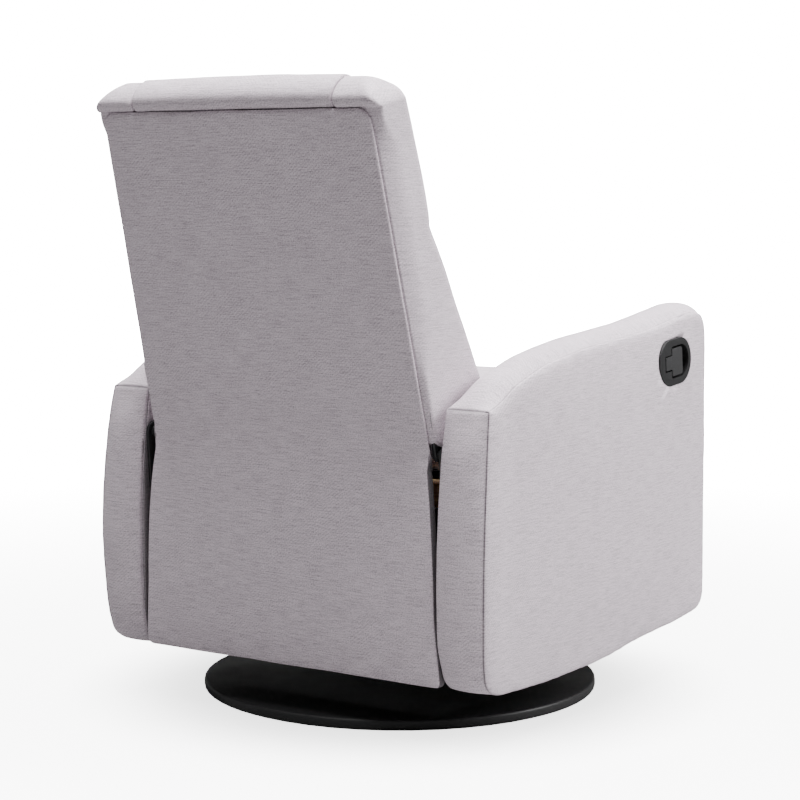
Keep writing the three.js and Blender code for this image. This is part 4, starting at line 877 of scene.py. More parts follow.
runs = np.concatenate([
    foot_run + np.array([0.0008, 0.002, 0.004, 0.007, 0.011, 0.016, 0.021, 0.027]),
    np.arange(foot_run + 0.036, -0.045, 0.0095), np.arange(-0.04, 0.042, 0.0034),
    np.arange(0.048, BACK_LENGTH - 0.035, 0.0095),
    BACK_LENGTH - np.array([0.028, 0.022, 0.017, 0.013, 0.0095, 0.0065, 0.004, 0.002, 0.0006])])
face_shares = np.sin(np.linspace(-1, 1, 61) * math.pi / 2 * 0.92) / math.sin(math.pi / 2 * 0.92)
quarter = np.linspace(0, math.pi / 2, 7)
PANEL_STUFFING, PANEL_CROWN, END_TUCK = 0.008, 0.0040, 0.0045
rear_rings = []
for run in runs:
    centre, way = bent_line(run)
    edge_run = min(run - foot_run, BACK_LENGTH - run)
    tuck = END_TUCK * math.exp(-edge_run / 0.0028)
    low_share = float(np.clip(-run / 0.03, 0, 1))
    half, turn = rear_half(run), 0.0032 + 0.0016 * low_share
    fold_depth = 0.0048 + 0.0112 * low_share * low_share * (3 - 2 * low_share)
    arc = [(half - turn + turn * math.cos(a), -turn + turn * math.sin(a)) for a in quarter]
    sideways = [(half - 0.0045, -fold_depth + 0.0006), (half - 0.0008, -fold_depth)]
    sideways += [(half, -fold_depth + 0.0008)] + arc
    face = [(s * (half - turn - 0.0015), 0.0) for s in face_shares[::-1]]
    other = [(-x, y) for x, y in sideways[::-1]]
    inner = [(x, -fold_depth + 0.0008) for x in np.linspace(-half + 0.009, half - 0.009, 24)]
    loop = np.array(sideways + face + other + inner)
    crown = PANEL_CROWN * (1 - (loop[:, 0] / half) ** 4) * min(1.0, edge_run / 0.05) * (loop[:, 1] > -0.0015)
    stuffing = PANEL_STUFFING * math.sin(math.pi * min(1.0, max(0.0, run / foot_run))) ** 0.8
    y = loop[:, 1] + crown + stuffing - tuck * (loop[:, 1] > -turn)
    spot = centre + y[:, None] * way
    rear_rings.append(np.column_stack([loop[:, 0], spot]))
rear_cover = loft("rear_cover", rear_rings)
p = points_of(rear_cover)
outside = normals_of(rear_cover)[:, 1] > 0.3
near_top = np.exp(-np.abs((p[:, 2] - 1.0) / 0.02))
ripple = soft_noise(p * (1, 0.2, 0.4), 34, 21) * 0.0011 * near_top
fold_off = p[:, 2] - 0.459 + 0.005 * soft_noise(p * (1, 0, 0), 9, 33)
fold = -np.exp(-(fold_off / 0.0060) ** 2) * (0.0013 + 0.0022 * (np.abs(p[:, 0]) / PANEL_HALF) ** 3)
lifts = (creased(p, 17, 0.0008) + ripple + fold) * outside
move_points(rear_cover, p + normals_of(rear_cover) * lifts[:, None])
# Painted shadow: the side points of each ring are darkened below the crease, standing in for the shadow in
# the gap beside the arms.
painted_side_shadow = np.zeros(np.asarray(rear_rings).shape[:2])
hidden, far_side = 6, 2 * len(sideways) + len(face)
painted_side_shadow[:, :hidden] = np.clip((0.01 - runs) / 0.03, 0, 1)[:, None]
painted_side_shadow[:, far_side - hidden:far_side] = painted_side_shadow[:, :hidden]
sewn(rear_cover, None, "back_rear_panel", "lower_back_panel", "back_crease_strip",
     seams=np.r_[painted_side_shadow.ravel(), 0, 0])
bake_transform(rear_cover)

# %% [markdown]
# ## Rolls and bolsters
# The front of the back is four pillows: one behind the head, one behind the waist and a long bolster on
# each side. The head pillow and the bolsters go on over the top as a padded roll. Seen from the side each
# is a ladder: a rear line, a front line and rungs between them. Every rung becomes a ring with rounded
# corners, so the outer side, the front and the roll all have even faces, and the sewn ends turn in.

# %% Pillow helper
SEAT_THICK = 0.198
REAR, FOOT, CHANNEL = 0.1452, -0.1062, 0.62


def rungs(pairs, spacing=0.0065):
    """Rear and front points between the given pairs, on smooth lines, in the back's frame."""
    pairs = np.array(pairs, float).reshape(-1, 2, 2) * (-SEAT_THICK, BACK_LENGTH)
    ends = np.concatenate([2 * pairs[:1] - pairs[1:2], pairs, 2 * pairs[-1:] - pairs[-2:-1]])
    out = []
    for i in range(1, len(pairs)):
        p0, p1, p2, p3 = ends[i - 1:i + 3]
        steps = max(2, int(np.ceil(np.linalg.norm(p2 - p1, axis=1).max() / spacing)))
        for t in np.arange(steps) / steps:
            out.append(0.5 * (2 * p1 + (p2 - p0) * t + (2 * p0 - 5 * p1 + 4 * p2 - p3) * t ** 2
                              + (3 * p1 - p0 - 3 * p2 + p3) * t ** 3))
    return out + [pairs[-1]]


def corner(u, v, turn_u, turn_v, start, steps=7):
    """A rounded corner of a ring, from one quarter to the next."""
    angles = start + np.linspace(0, math.pi / 2, steps)
    return [(u + turn_u * math.cos(a), v + turn_v * math.sin(a)) for a in angles]


# How far a bolster's rear edge turns in: the least of it, and what comes on top where the edge is full.
LIP_NARROW, LIP_MORE = 0.012, 0.028


def pillow_ring(rear, front, inner, outer, turns, crown, lip):
    """One ring in the back's frame. Turns are the corner radii: inner, front outer and rear outer."""
    deep = np.linalg.norm(front - rear)
    way = (front - rear) / deep
    middle = (rear[1] + front[1]) / 2
    low, high = inner(middle), outer(middle)
    t_in, t_front, t_rear = (min(t, deep * 0.49, (high - low) * 0.3) for t in turns)
    side_in = [(low, d) for d in np.linspace(t_in, deep - t_in, 8)[:-1]]
    front_run = np.linspace(low + t_in, high - t_front, 22)[1:-1]
    bulge = crown * np.sin(np.linspace(0, math.pi, 22))[1:-1] * min(1.0, deep / 0.06)
    loop = side_in + corner(low + t_in, deep - t_in, -t_in, t_in, 0.0)
    loop += list(zip(front_run, deep + bulge))
    loop += corner(high - t_front, deep - t_front, t_front, t_front, 0.0)[::-1]
    if lip is None:
        loop += [(high, d) for d in np.linspace(deep - t_front, t_rear, 14)[1:-1]]
        loop += [(high - t_rear * (1 - math.cos(a)), t_rear * (1 - math.sin(a)))
                 for a in np.linspace(0, math.pi / 2, 9)]
        loop += [(x, 0.0) for x in np.linspace(high - t_rear, low + t_in, 12)[1:-1]]
    else:
        step, back_reach, widens = lip
        reach_in = max(high - step, 0.004)
        loop += [(high, d) for d in np.linspace(deep - t_front, widens - back_reach, 14)[1:-1]]
        turn_in = 1.8 + 1.2 * (LIP_NARROW + LIP_MORE - widens) / LIP_MORE
        loop += [(high - reach_in * share ** turn_in, widens * (1 - share) - back_reach)
                 for share in np.linspace(0, 1, 9)]
        loop += [(step - 0.0008, 0.0)] + [(x, 0.0) for x in np.linspace(step - 0.002, low + t_in, 11)[1:-1]]
    loop += [(low + t_in * (1 - math.sin(a)), t_in * (1 - math.cos(a)))
             for a in np.linspace(0, math.pi / 2, 7)[:-1]]
    loop = np.array(loop)
    flat = rear + loop[:, 1:] * way
    stretch = (outer(flat[:, 1]) - inner(flat[:, 1])) / (high - low)
    x = inner(flat[:, 1]) + (loop[:, 0] - low) * stretch
    return np.column_stack([x, CREASE + flat[:, :1] * rear_of_back + flat[:, 1:] * along_back])


def along(shares, rear=REAR):
    """Rungs from the rear line, given as heights and front depths."""
    return [((rear, low), (deep, high)) for low, deep, high in shares]


TOP_TURN, OVER_HANG, PROUD = 0.053, 0.047, 0.011


def outer_side(z):
    """A bolster's outer side at a height: it follows the back's taper and rounds over the top corner."""
    half = LOWER_HALF + (UPPER_HALF - LOWER_HALF) * z / BACK_LENGTH
    up = np.clip(z / BACK_LENGTH, 0, 1)
    over = np.clip((z - (BACK_LENGTH + OVER_HANG - TOP_TURN)) / TOP_TURN, 0, 1)
    return half + PROUD + 0.002 * up + 0.004 * up ** 12 - TOP_TURN * (1 - np.sqrt(1 - over ** 2))


roll = [
    ((0.026, 1.0014), (0.482, 0.998)), ((0.004, 1.010), (0.474, 1.008)), ((-0.010, 1.026), (0.456, 1.026)),
    ((0.002, 1.045), (0.422, 1.044)), ((0.05, 1.063), (0.366, 1.062)), ((0.12, 1.0765), (0.305, 1.0765)),
    ((0.19, 1.083), (0.25, 1.083)), ((0.215, 1.0838), (0.225, 1.0838))]
print("rungs in the roll", len(rungs(roll)))

# %% Head pillow and bolsters
HEAD_HALF, BOLSTER_INNER = 0.1974, 0.1986
head_front = [(0.65, 0.54, 0.65), (0.72, 0.545, 0.72), (0.82, 0.538, 0.82), (0.9, 0.52, 0.9),
              (0.955, 0.502, 0.955), (0.998, 0.485, 0.99)]
head_foot = [
    ((0.30, CHANNEL + 0.001), (0.33, CHANNEL + 0.001)),
    ((REAR, CHANNEL + 0.0015), (0.46, CHANNEL + 0.002)),
    ((REAR, CHANNEL + 0.012), (0.515, CHANNEL + 0.012))]
HEAD_TURNS, HEAD_CROWN = (0.007, 0.007, 0.007), 0.009
BOLSTER_TURNS, BOLSTER_CROWN = (0.007, 0.024, 0.009), 0.004


def flat_side(x):
    """A straight side at one X."""
    return lambda z: x + 0 * z


rings = [pillow_ring(r, f, flat_side(-HEAD_HALF), flat_side(HEAD_HALF), HEAD_TURNS, HEAD_CROWN, None)
         for part in (head_foot + along(head_front), roll) for r, f in rungs(part)]
head = loft("head_pillow", rings)
bolster_foot = [((0.54, FOOT * 0.86), (0.58, FOOT * 0.87)), ((0.30, FOOT * 0.66), (0.8, FOOT * 0.88)),
                ((REAR, FOOT * 0.34), (0.9, FOOT * 0.5))]
bolster_front = [(0.02, 0.93, 0.0), (0.13, 0.885, 0.12), (0.25, 0.80, 0.25), (0.36, 0.722, 0.36),
                 (0.46, 0.66, 0.46), (0.54, 0.595, 0.54), (0.59, 0.55, 0.59), (0.62, 0.528, 0.62)]
LIP_FULL_FROM, LIP_EASES_IN, LIP_FULL_TO, LIP_EASES_OUT = 0.10, 0.09, BACK_LENGTH - 0.012, 0.06


def bolster_lip(height):
    """How a bolster's rear edge meets the rear cover at a height: where, how far back and how wide."""
    share = float(np.clip((height + 0.004) / 0.012, 0, 1))
    fullness = float(eased_share((height - LIP_FULL_FROM) / LIP_EASES_IN)
                     * eased_share((LIP_FULL_TO - height) / LIP_EASES_OUT))
    return (rear_half(max(height, 0.001)) - 0.001, (REAR * SEAT_THICK - 0.005) * share,
            LIP_NARROW + LIP_MORE * fullness)


bolsters = []
for name, side in (("bolster_left", 1), ("bolster_right", -1)):
    rings = [pillow_ring(r, f, flat_side(BOLSTER_INNER), outer_side, BOLSTER_TURNS, BOLSTER_CROWN,
                         bolster_lip(r[1]) if has_lip else None)
             for part, has_lip in ((bolster_foot + along(bolster_front + head_front), True), (roll, False))
             for r, f in rungs(part)]
    rings = np.array(rings)
    over_top = np.clip(((rings[..., 1:] - CREASE) @ along_back - BACK_LENGTH) / 0.03, 0, 1)
    rings[..., 2] -= 0.0035 * over_top
    rings[..., 0] *= side
    bolsters.append(loft(name, rings))
for piece, seed, node in ((head, 31, "back_head_pillow"), (bolsters[0], 41, "back_bolster_left"),
                          (bolsters[1], 51, "back_bolster_right")):
    p = points_of(piece)
    crown = 0.0025 * np.clip(1 - (p[:, 0] / HEAD_HALF) ** 2, 0, 1) * np.clip((p[:, 2] - 1.0) / 0.03, 0, 1)
    p[:, 2] += crown - 0.0032 * eased_share((p[:, 2] - 0.996) / 0.034)
    move_points(piece, p + normals_of(piece) * creased(p, seed)[:, None])
    sewn(piece, "back", node)

# %% [markdown]
# ## Pads blown up as cloth
# The seat cushion, the lumbar pillow and the footrest pad are foam in a sewn case. A case pulls tight at its
# seams and bulges between them, and drawing that by hand takes long. So each starts as a slim blank, is
# remeshed to even faces and gets a short Cloth simulation with air pressure inside, while its seams are held.
# Seams are pressed in afterwards, because remeshing would fill them.

# %% Pad helpers
def pad_blank(name, outline, half, turn, slim):
    """A slim pad: one side outline in Y and Z, carried across X, with rounded ends."""
    normals = outward(outline)
    ends = np.linspace(0, math.pi / 2, 7)
    places = [(-half + turn * (1 - math.cos(a)), slim + 0.55 * turn * (1 - math.sin(a))) for a in ends]
    places += [(x, slim) for x in np.linspace(turn - half, half - turn, 30)[1:-1]]
    places += [(-x, inset) for x, inset in places[6::-1]]
    return loft(name, [np.column_stack([np.full(len(outline), x), outline - normals * inset])
                       for x, inset in places])


def blown(piece, voxel, cap, held, low, high, pressure=4.0):
    """Remeshes a pad, blows it up, keeps it in its room, between two corners, and subdivides it once."""
    remesh = piece.modifiers.new("remesh", "REMESH")
    remesh.mode, remesh.voxel_size = "VOXEL", voxel
    baked(piece)
    start = points_of(piece)
    group = piece.vertex_groups.new(name="held")
    group.add([int(i) for i in np.flatnonzero(held(start))], 1.0, "REPLACE")
    case = piece.modifiers.new("case", "CLOTH")
    case.settings.use_pressure, case.settings.uniform_pressure_force = True, pressure
    case.settings.effector_weights.gravity = 0
    case.settings.vertex_group_mass = "held"
    case.settings.quality = 5
    case.point_cache.frame_end = 20
    for frame_number in range(1, 21):
        bpy.context.scene.frame_set(frame_number)
    baked(piece)
    bpy.context.scene.frame_set(1)
    moves = points_of(piece) - start
    length = np.linalg.norm(moves, axis=1)
    print(piece.name, "moved at most", round(float(length.max()), 4))
    moves *= np.minimum(1, cap / np.maximum(length, 1e-9))[:, None]
    move_points(piece, np.clip(start + moves, low, high))
    piece.vertex_groups.clear()
    smooth = piece.modifiers.new("smooth", "SUBSURF")
    smooth.levels = smooth.render_levels = 1
    baked(piece)
    piece.data.polygons.foreach_set("use_smooth", [True] * len(piece.data.polygons))
    return piece


def pressed(piece, distance, depth=0.0032, width=0.0028):
    """Presses a seam in where a distance is near zero. Returns how deep in it each point lies."""
    p = points_of(piece)
    seam = np.exp(-(distance(p) / width) ** 2)
    puckers = 1 + 0.35 * soft_noise(p, 60, 5)
    move_points(piece, p - normals_of(piece) * (seam * depth * puckers)[:, None])
    return np.exp(-(distance(p) / (0.55 * width)) ** 2)


# %% Seat cushion
SEAT_HALF, SEAT_FRONT, SEAT_REAR, SEAT_LOW, SEAT_HIGH = 0.3005, -0.4590, 0.1365, 0.4005, 0.5340
seat_shares = [
    (0.075, 0), (0.035, 0.05), (0.01, 0.17), (0, 0.4), (0.004, 0.66), (0.02, 0.86), (0.055, 0.965), (0.11, 1),
    (0.24, 0.99), (0.43, 0.965), (0.62, 0.95), (0.82, 0.95), (0.93, 0.93), (0.98, 0.84), (1, 0.66), (1, 0.3),
    (0.99, 0.09), (0.96, 0)]
seat_outline = smooth_closed(placed_shares(seat_shares, SEAT_FRONT, SEAT_REAR, SEAT_LOW, SEAT_HIGH), 0.009)
seat = pad_blank("seat_cushion_cover", seat_outline, SEAT_HALF, 0.022, 0.007)
SIDE_SEAM = SEAT_HALF - 0.011
blown(seat, voxel=0.0072, cap=0.024,
      held=lambda p: (np.abs(p[:, 0]) > SIDE_SEAM) | (p[:, 2] < 0.409) | (p[:, 1] > 0.125),
      low=(-SEAT_HALF, -0.462, SEAT_LOW), high=(SEAT_HALF, SEAT_REAR, 0.5480))
seat_seam = pressed(seat, lambda p: np.abs(p[:, 0]) - SIDE_SEAM)
front_seam = pressed(seat, lambda p: np.where(p[:, 2] > 0.46, p[:, 1] + 0.365, 1.0), depth=0.0042,
                     width=0.0034)
p = points_of(seat)
move_points(seat, p + normals_of(seat) * creased(p, 61, 0.0012)[:, None])
sewn(seat, "chassis", "seat_cushion", seams=np.maximum(seat_seam, front_seam))

# %% Lumbar pillow
LUMBAR_HALF = 0.1966
lumbar_shares = [
    (REAR, FOOT * 0.35), (0.45, FOOT * 0.85), (0.8, FOOT), (0.92, FOOT * 0.6), (0.95, 0), (0.92, 0.12),
    (0.835, 0.25), (0.755, 0.36), (0.69, 0.46), (0.625, 0.54), (0.575, 0.59), (0.51, 0.614), (0.4, 0.618),
    (REAR, 0.618)]
lumbar_outline = smooth_closed([from_back(-a * SEAT_THICK, b * BACK_LENGTH) for a, b in lumbar_shares], 0.008)
lumbar = pad_blank("lumbar_pillow", lumbar_outline, LUMBAR_HALF, 0.014, 0.006)


def depth_in_back(p):
    """How far forward of the back's rear line each point lies."""
    return -((p[:, 1:] - CREASE) @ rear_of_back)


blown(lumbar, voxel=0.006, cap=0.024,
      held=lambda p: (np.abs(p[:, 0]) > LUMBAR_HALF - 0.007) | (depth_in_back(p) < 0.05) | (p[:, 2] < 0.47),
      low=(-0.198, 0.126, 0.440), high=(0.198, 0.40, 0.83))
back_height = (points_of(lumbar)[:, 1:] - CREASE) @ along_back
p = points_of(lumbar)
LUMBAR_TOP = 0.3375
past_top = np.clip(back_height - LUMBAR_TOP, 0, None)
p[:, 1:] -= past_top[:, None] * along_back
move_points(lumbar, p)
lumbar_seam = pressed(lumbar, lambda p: np.abs(p[:, 0]) - (LUMBAR_HALF - 0.008), depth=0.0026)
p = points_of(lumbar)
move_points(lumbar, p + normals_of(lumbar) * creased(p, 71, 0.0011)[:, None])
sewn(lumbar, "back", "back_lumbar_pillow", seams=lumbar_seam)

# %% Footrest pad
FOOT_HALF, FOOT_BACK, FOOT_LOW, FOOT_HIGH, FOOT_THICK = 0.2895, -0.4032, 0.106, 0.362, 0.044
foot_shares = [
    (1, 0.02), (0.8, 0), (0.4, 0.004), (0.12, 0.025), (0.01, 0.08), (0, 0.3), (0, 0.7), (0.01, 0.92),
    (0.12, 0.975), (0.4, 0.996), (0.8, 1), (1, 0.98)]
foot_outline = smooth_closed([(FOOT_BACK - FOOT_THICK * (1 - a), FOOT_LOW + b * (FOOT_HIGH - FOOT_LOW))
                              for a, b in foot_shares], 0.006, corners=(0, 11), fine=0.003)
foot_pad = pad_blank("footrest_cushion", foot_outline, FOOT_HALF, 0.014, 0.005)
blown(foot_pad, voxel=0.0055, cap=0.022,
      held=lambda p: ((np.abs(p[:, 0]) > FOOT_HALF - 0.006) | (p[:, 1] > FOOT_BACK - 0.012)
                      | (p[:, 2] < 0.115)),
      low=(-FOOT_HALF - 0.0005, -0.4590, 0.105), high=(FOOT_HALF + 0.0005, FOOT_BACK, 0.3630))
foot_seam = pressed(foot_pad, lambda p: np.abs(p[:, 0]) - (FOOT_HALF - 0.007), depth=0.0026)
p = points_of(foot_pad)
move_points(foot_pad, p + normals_of(foot_pad) * creased(p, 81, 0.0010)[:, None])
sewn(foot_pad, "fold_3", "footrest_pad", seams=foot_seam)

# %% [markdown]
# ## The footrest's wrapped edge
# The pad's case is pulled round the board's edge and stapled behind it, so no wood shows from the front.
# The wrap is one closed band: a flat, rounded section carried round the board's outline.

# %% Footrest wrap
def band_round(name, outline, section):
    """A closed band: for each outline point, a section of (outward, y) points. The outline is in X and Z."""
    normals = outward(outline)
    count, around = len(outline), len(section)
    points = [(x + normal[0] * out, y, z + normal[1] * out)
              for (x, z), normal in zip(outline, normals) for out, y in section]
    faces = [(i * around + j, i * around + (j + 1) % around, (i + 1) % count * around + (j + 1) % around,
              (i + 1) % count * around + j) for i in range(count) for j in range(around)]
    return mesh_object(name, points, faces)


board_low, board_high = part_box("footrest_board")
board_edge = rounded([(-board_high.x, board_low.z, 0.005), (board_high.x, board_low.z, 0.005),
                      (board_high.x, board_high.z, 0.005), (-board_high.x, board_high.z, 0.005)], 5)
board_edge = smooth_closed(board_edge, 0.008)
front_y, back_y = board_low.y, board_high.y
wrap_section = [
    (-0.02, back_y + 0.0006), (0.004, back_y + 0.0006), (0.0062, back_y - 0.0012), (0.0072, back_y - 0.005),
    (0.0078, front_y), (0.0074, front_y - 0.006), (0.004, front_y - 0.007), (-0.003, front_y - 0.0035),
    (-0.010, front_y - 0.0018), (-0.010, front_y - 0.0006), (0.0006, front_y - 0.0006),
    (0.0006, back_y - 0.0002), (-0.02, back_y + 0.0002)]
wrap = band_round("footrest_wrap", board_edge, wrap_section)
p = points_of(wrap)
move_points(wrap, p + normals_of(wrap) * (soft_noise(p, 40, 83) * 0.0005)[:, None])
sewn(wrap, "fold_3")

# %% [markdown]
# ## The front apron
# A strip of the same cloth is stretched over the front rail, below the cushion. It is thin and flat, so it
# is lofted from rounded rings with a slight crown instead of being simulated.

# %% Front apron
APRON_HALF, APRON_FRONT, APRON_REAR, APRON_LOW, APRON_HIGH = 0.299, -0.397, -0.3852, 0.362, 0.3998
apron_corner = 0.004
apron_outline = rounded([
    (APRON_REAR, APRON_LOW, 0.0006), (APRON_FRONT, APRON_LOW, apron_corner),
    (APRON_FRONT, APRON_HIGH, apron_corner), (APRON_REAR, APRON_HIGH, 0.0006)], 6)
apron_middle = apron_outline.mean(0)
apron_rings = []
for share in np.r_[0, 0.004, 0.01, np.linspace(0.02, 0.98, 48), 0.99, 0.996, 1]:
    nearest = min(share, 1 - share) * 2 * APRON_HALF
    size = 1 - 0.16 * math.exp(-nearest / 0.0022)
    x = APRON_HALF * (2 * share - 1)
    apron_rings.append(np.column_stack([np.full(len(apron_outline), x),
                                        apron_middle + (apron_outline - apron_middle) * size]))
apron = loft("front_apron_cover", apron_rings)
sewn(apron, "chassis", "front_apron")

# %% [markdown]
# ## Rigid pieces with eased edges
# Steel plates, tubes and boards are never knife-sharp, and a tiny bevel catches a line of light along each
# edge. A CAD node's mesh is left as it is, so a copy is merged, bevelled and stands for it.

# %% Bevelled copies
subparts = {row["node"]: row for row in frame["record"]["subparts"]}
finishes = {"base_disc": disc_coat, "floor_pad": pad_rubber, "black_steel": black_steel, "zinc_steel": zinc,
            "spring_steel": spring_steel, "frame_wood": wood_across, "handle_plastic": handle_plastic,
            "cable_sheath": cable_sheath, "upholstery": upholstery}
uprights = ("arm_board_left", "arm_board_right", "back_board")
alongs = ("seat_rail_left", "seat_rail_right")


def finish_of(name):
    """The material of a CAD node."""
    if name in uprights:
        return wood_upright
    return wood_along if name in alongs else finishes[subparts[name]["material_slot"]]


bodies = frame["record"]["behaviour"]["bodies"]
body_of_node = {name: body for body, names in bodies.items() for name in names}
print("nodes with a body", len(body_of_node))
bevels = {
    "base_disc": 0.0016, "floor_pad": 0.0004, "spindle_post": 0.0012, "bearing_lower_race": 0.0006,
    "bearing_upper_race": 0.0006, "turntable_frame": 0.0012, "glide_bracket_left": 0.0008,
    "glide_bracket_right": 0.0008, "glide_rail_left": 0.0008, "glide_rail_right": 0.0008,
    "cross_tube_front": 0.0016, "cross_tube_rear": 0.0016, "mechanism_plate_left": 0.0006,
    "mechanism_plate_right": 0.0006, "seat_rail_front": 0.0016, "seat_rail_rear": 0.0016,
    "seat_rail_left": 0.0016, "seat_rail_right": 0.0016, "back_hinge_plate_left": 0.0006,
    "back_hinge_plate_right": 0.0006, "back_bracket_left": 0.0006, "back_bracket_right": 0.0006,
    "footrest_board": 0.0012, "arm_board_left": 0.0012, "arm_board_right": 0.0012, "back_board": 0.0012,
    "torque_tube": 0.0008, "release_pawl": 0.0004}
for side in ("left", "right"):
    for row in ("front", "rear"):
        bevels[f"glide_link_{row}_{side}"] = 0.0005
    for number in (1, 2, 3, 4):
        bevels[f"footrest_link_{number}_{side}"] = 0.0004
for name, width in bevels.items():
    copy = bpy.data.objects.new(name + "_eased", frame["nodes"][name].data.copy())
    bpy.context.scene.collection.objects.link(copy)
    eased(copy, width, segments=2, angle=30)
    dress(copy, finish_of(name), body_of_node[name], subparts[name]["material_slot"], name)

# %% [markdown]
# ## Seat springs
# A no-sag spring is one wire bent into even waves. A Geometry Nodes tree draws it as a rule: a line, moved
# sideways by a sine, with the wire's circle carried along it, and copied onto a row of points. Its sizes
# are named inputs, so another seat needs only other numbers.

# %% Geometry Nodes helpers
def geometry_tree(name, inputs):
    """An empty Geometry Nodes tree with named inputs. Returns the tree, its input and its output."""
    tree = bpy.data.node_groups.new(name, "GeometryNodeTree")
    tree.interface.new_socket(name="Geometry", in_out="INPUT", socket_type="NodeSocketGeometry")
    for label, kind, value in inputs:
        socket = tree.interface.new_socket(name=label, in_out="INPUT", socket_type=kind)
        if value is not None:
            socket.default_value = value
    tree.interface.new_socket(name="Geometry", in_out="OUTPUT", socket_type="NodeSocketGeometry")
    return tree, tree.nodes.new("NodeGroupInput"), tree.nodes.new("NodeGroupOutput")


def grown(name, points, ways, tree, values):
    """A plain mesh that the tree makes on the given points. Each point keeps the way that it faces."""
    mesh = bpy.data.meshes.new(name)
    mesh.from_pydata([tuple(p) for p in points], [], [])
    facing = mesh.attributes.new("way", "FLOAT_VECTOR", "POINT")
    facing.data.foreach_set("vector", np.array(ways, np.float32).ravel())
    made = bpy.data.objects.new(name, mesh)
    bpy.context.scene.collection.objects.link(made)
    modifier = made.modifiers.new("grow", "NODES")
    modifier.node_group = tree
    sockets = {item.name: item.identifier for item in tree.interface.items_tree if item.in_out == "INPUT"}
    for label, value in values.items():
        modifier[sockets[label]] = value
    return baked(made)


def end_tree(tree, instances, material, output, smooth=False):
    """Ends a tree: its instances are made real, shaded smooth if asked, and get the material."""
    real = result(tree, "GeometryNodeRealizeInstances", {"Geometry": instances})
    if smooth:
        real = result(tree, "GeometryNodeSetShadeSmooth", {"Geometry": real})
    finished = result(tree, "GeometryNodeSetMaterial", {"Geometry": real, "Material": material})
    tree.links.new(finished, output.inputs[0])
    print(tree.name, "nodes", len(tree.nodes))


# %% Tree: sinuous springs
spring_tree, spring_in, spring_out = geometry_tree("sinuous_springs", [
    ("Length", "NodeSocketFloat", 0.5), ("Swing", "NodeSocketFloat", 0.026),
    ("Waves", "NodeSocketFloat", 4.0), ("Wire Radius", "NodeSocketFloat", 0.0021),
    ("Material", "NodeSocketMaterial", None)])
given = spring_in.outputs
LINE_POINTS, WIRE_SIDES, FULLER = 193, 8, -0.22


def spring_sum(operation, *values):
    """The result of a Math node in the spring tree."""
    return sums(spring_tree, operation, *values)


end = result(spring_tree, "ShaderNodeCombineXYZ", {1: given["Length"]})
straight = result(spring_tree, "GeometryNodeCurvePrimitiveLine", {"End": end})
line = result(spring_tree, "GeometryNodeResampleCurve", {"Curve": straight, "Count": LINE_POINTS})
share = add(spring_tree, "GeometryNodeSplineParameter").outputs["Factor"]
phase = spring_sum("MULTIPLY", spring_sum("MULTIPLY", share, given["Waves"]), math.tau)
from_end = spring_sum("MINIMUM", share, spring_sum("SUBTRACT", 1.0, share))
settle = spring_sum("MULTIPLY", spring_sum("MULTIPLY", from_end, 2.0), given["Waves"])
swing = spring_sum("MULTIPLY", given["Swing"], spring_sum("MINIMUM", 1.0, settle))
sideways = spring_sum("MULTIPLY", swing, spring_sum("SINE", phase))
fuller = spring_sum("MULTIPLY", spring_sum("MULTIPLY", swing, FULLER),
                    spring_sum("SINE", spring_sum("MULTIPLY", phase, 2.0)))
offset = result(spring_tree, "ShaderNodeCombineXYZ", {0: sideways, 1: fuller})
bent = result(spring_tree, "GeometryNodeSetPosition", {"Geometry": line, "Offset": offset})
ring = result(spring_tree, "GeometryNodeCurvePrimitiveCircle",
              {"Resolution": WIRE_SIDES, "Radius": given["Wire Radius"]})
wire = result(spring_tree, "GeometryNodeCurveToMesh",
              {"Curve": bent, "Profile Curve": ring, "Fill Caps": True})
rows = result(spring_tree, "GeometryNodeInstanceOnPoints", {"Points": given["Geometry"], "Instance": wire})
end_tree(spring_tree, rows, given["Material"], spring_out, smooth=True)

spring_boxes = [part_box(f"seat_spring_{i}") for i in (1, 2, 3, 4)]
spring_feet = [((low.x + high.x) / 2, low.y, (low.z + high.z) / 2) for low, high in spring_boxes]
spring_length = spring_boxes[0][1].y - spring_boxes[0][0].y
springs = grown("seat_springs", spring_feet, [(0, 1, 0)] * 4, spring_tree,
                {"Length": spring_length, "Swing": 0.026, "Wire Radius": 0.0021, "Material": spring_steel})
dress(springs, spring_steel, "chassis", "spring_steel", *[f"seat_spring_{i}" for i in (1, 2, 3, 4)])

# %% [markdown]
# ## Bolts and clips
# Bolts hold the plates, rails and tubes together, and a small clip holds each spring's end. One tree puts
# a hex head and a washer on each point, turned to the way that the point faces, with a seeded random spin,
# as hand-driven bolts have. A ray cast at the CAD piece finds where each head sits.

# %% Tree: hex bolts
bolt_tree, bolt_in, bolt_out = geometry_tree("hex_bolts", [
    ("Head Width", "NodeSocketFloat", 0.011), ("Head Height", "NodeSocketFloat", 0.0045),
    ("Washer Width", "NodeSocketFloat", 0.016), ("Seed", "NodeSocketInt", 7),
    ("Material", "NodeSocketMaterial", None)])
given = bolt_in.outputs
WASHER = 0.0012
head_radius = sums(bolt_tree, "MULTIPLY", given["Head Width"], 0.5)
head_solid = result(bolt_tree, "GeometryNodeMeshCylinder",
                    {"Vertices": 6, "Radius": head_radius, "Depth": given["Head Height"]})
head_middle = sums(bolt_tree, "MULTIPLY_ADD", given["Head Height"], 0.5, 0.8 * WASHER)
lift = result(bolt_tree, "ShaderNodeCombineXYZ", {2: head_middle})
head_up = result(bolt_tree, "GeometryNodeTransform", {"Geometry": head_solid, "Translation": lift})
washer_radius = sums(bolt_tree, "MULTIPLY", given["Washer Width"], 0.5)
washer_solid = result(bolt_tree, "GeometryNodeMeshCylinder",
                      {"Vertices": 20, "Radius": washer_radius, "Depth": WASHER})
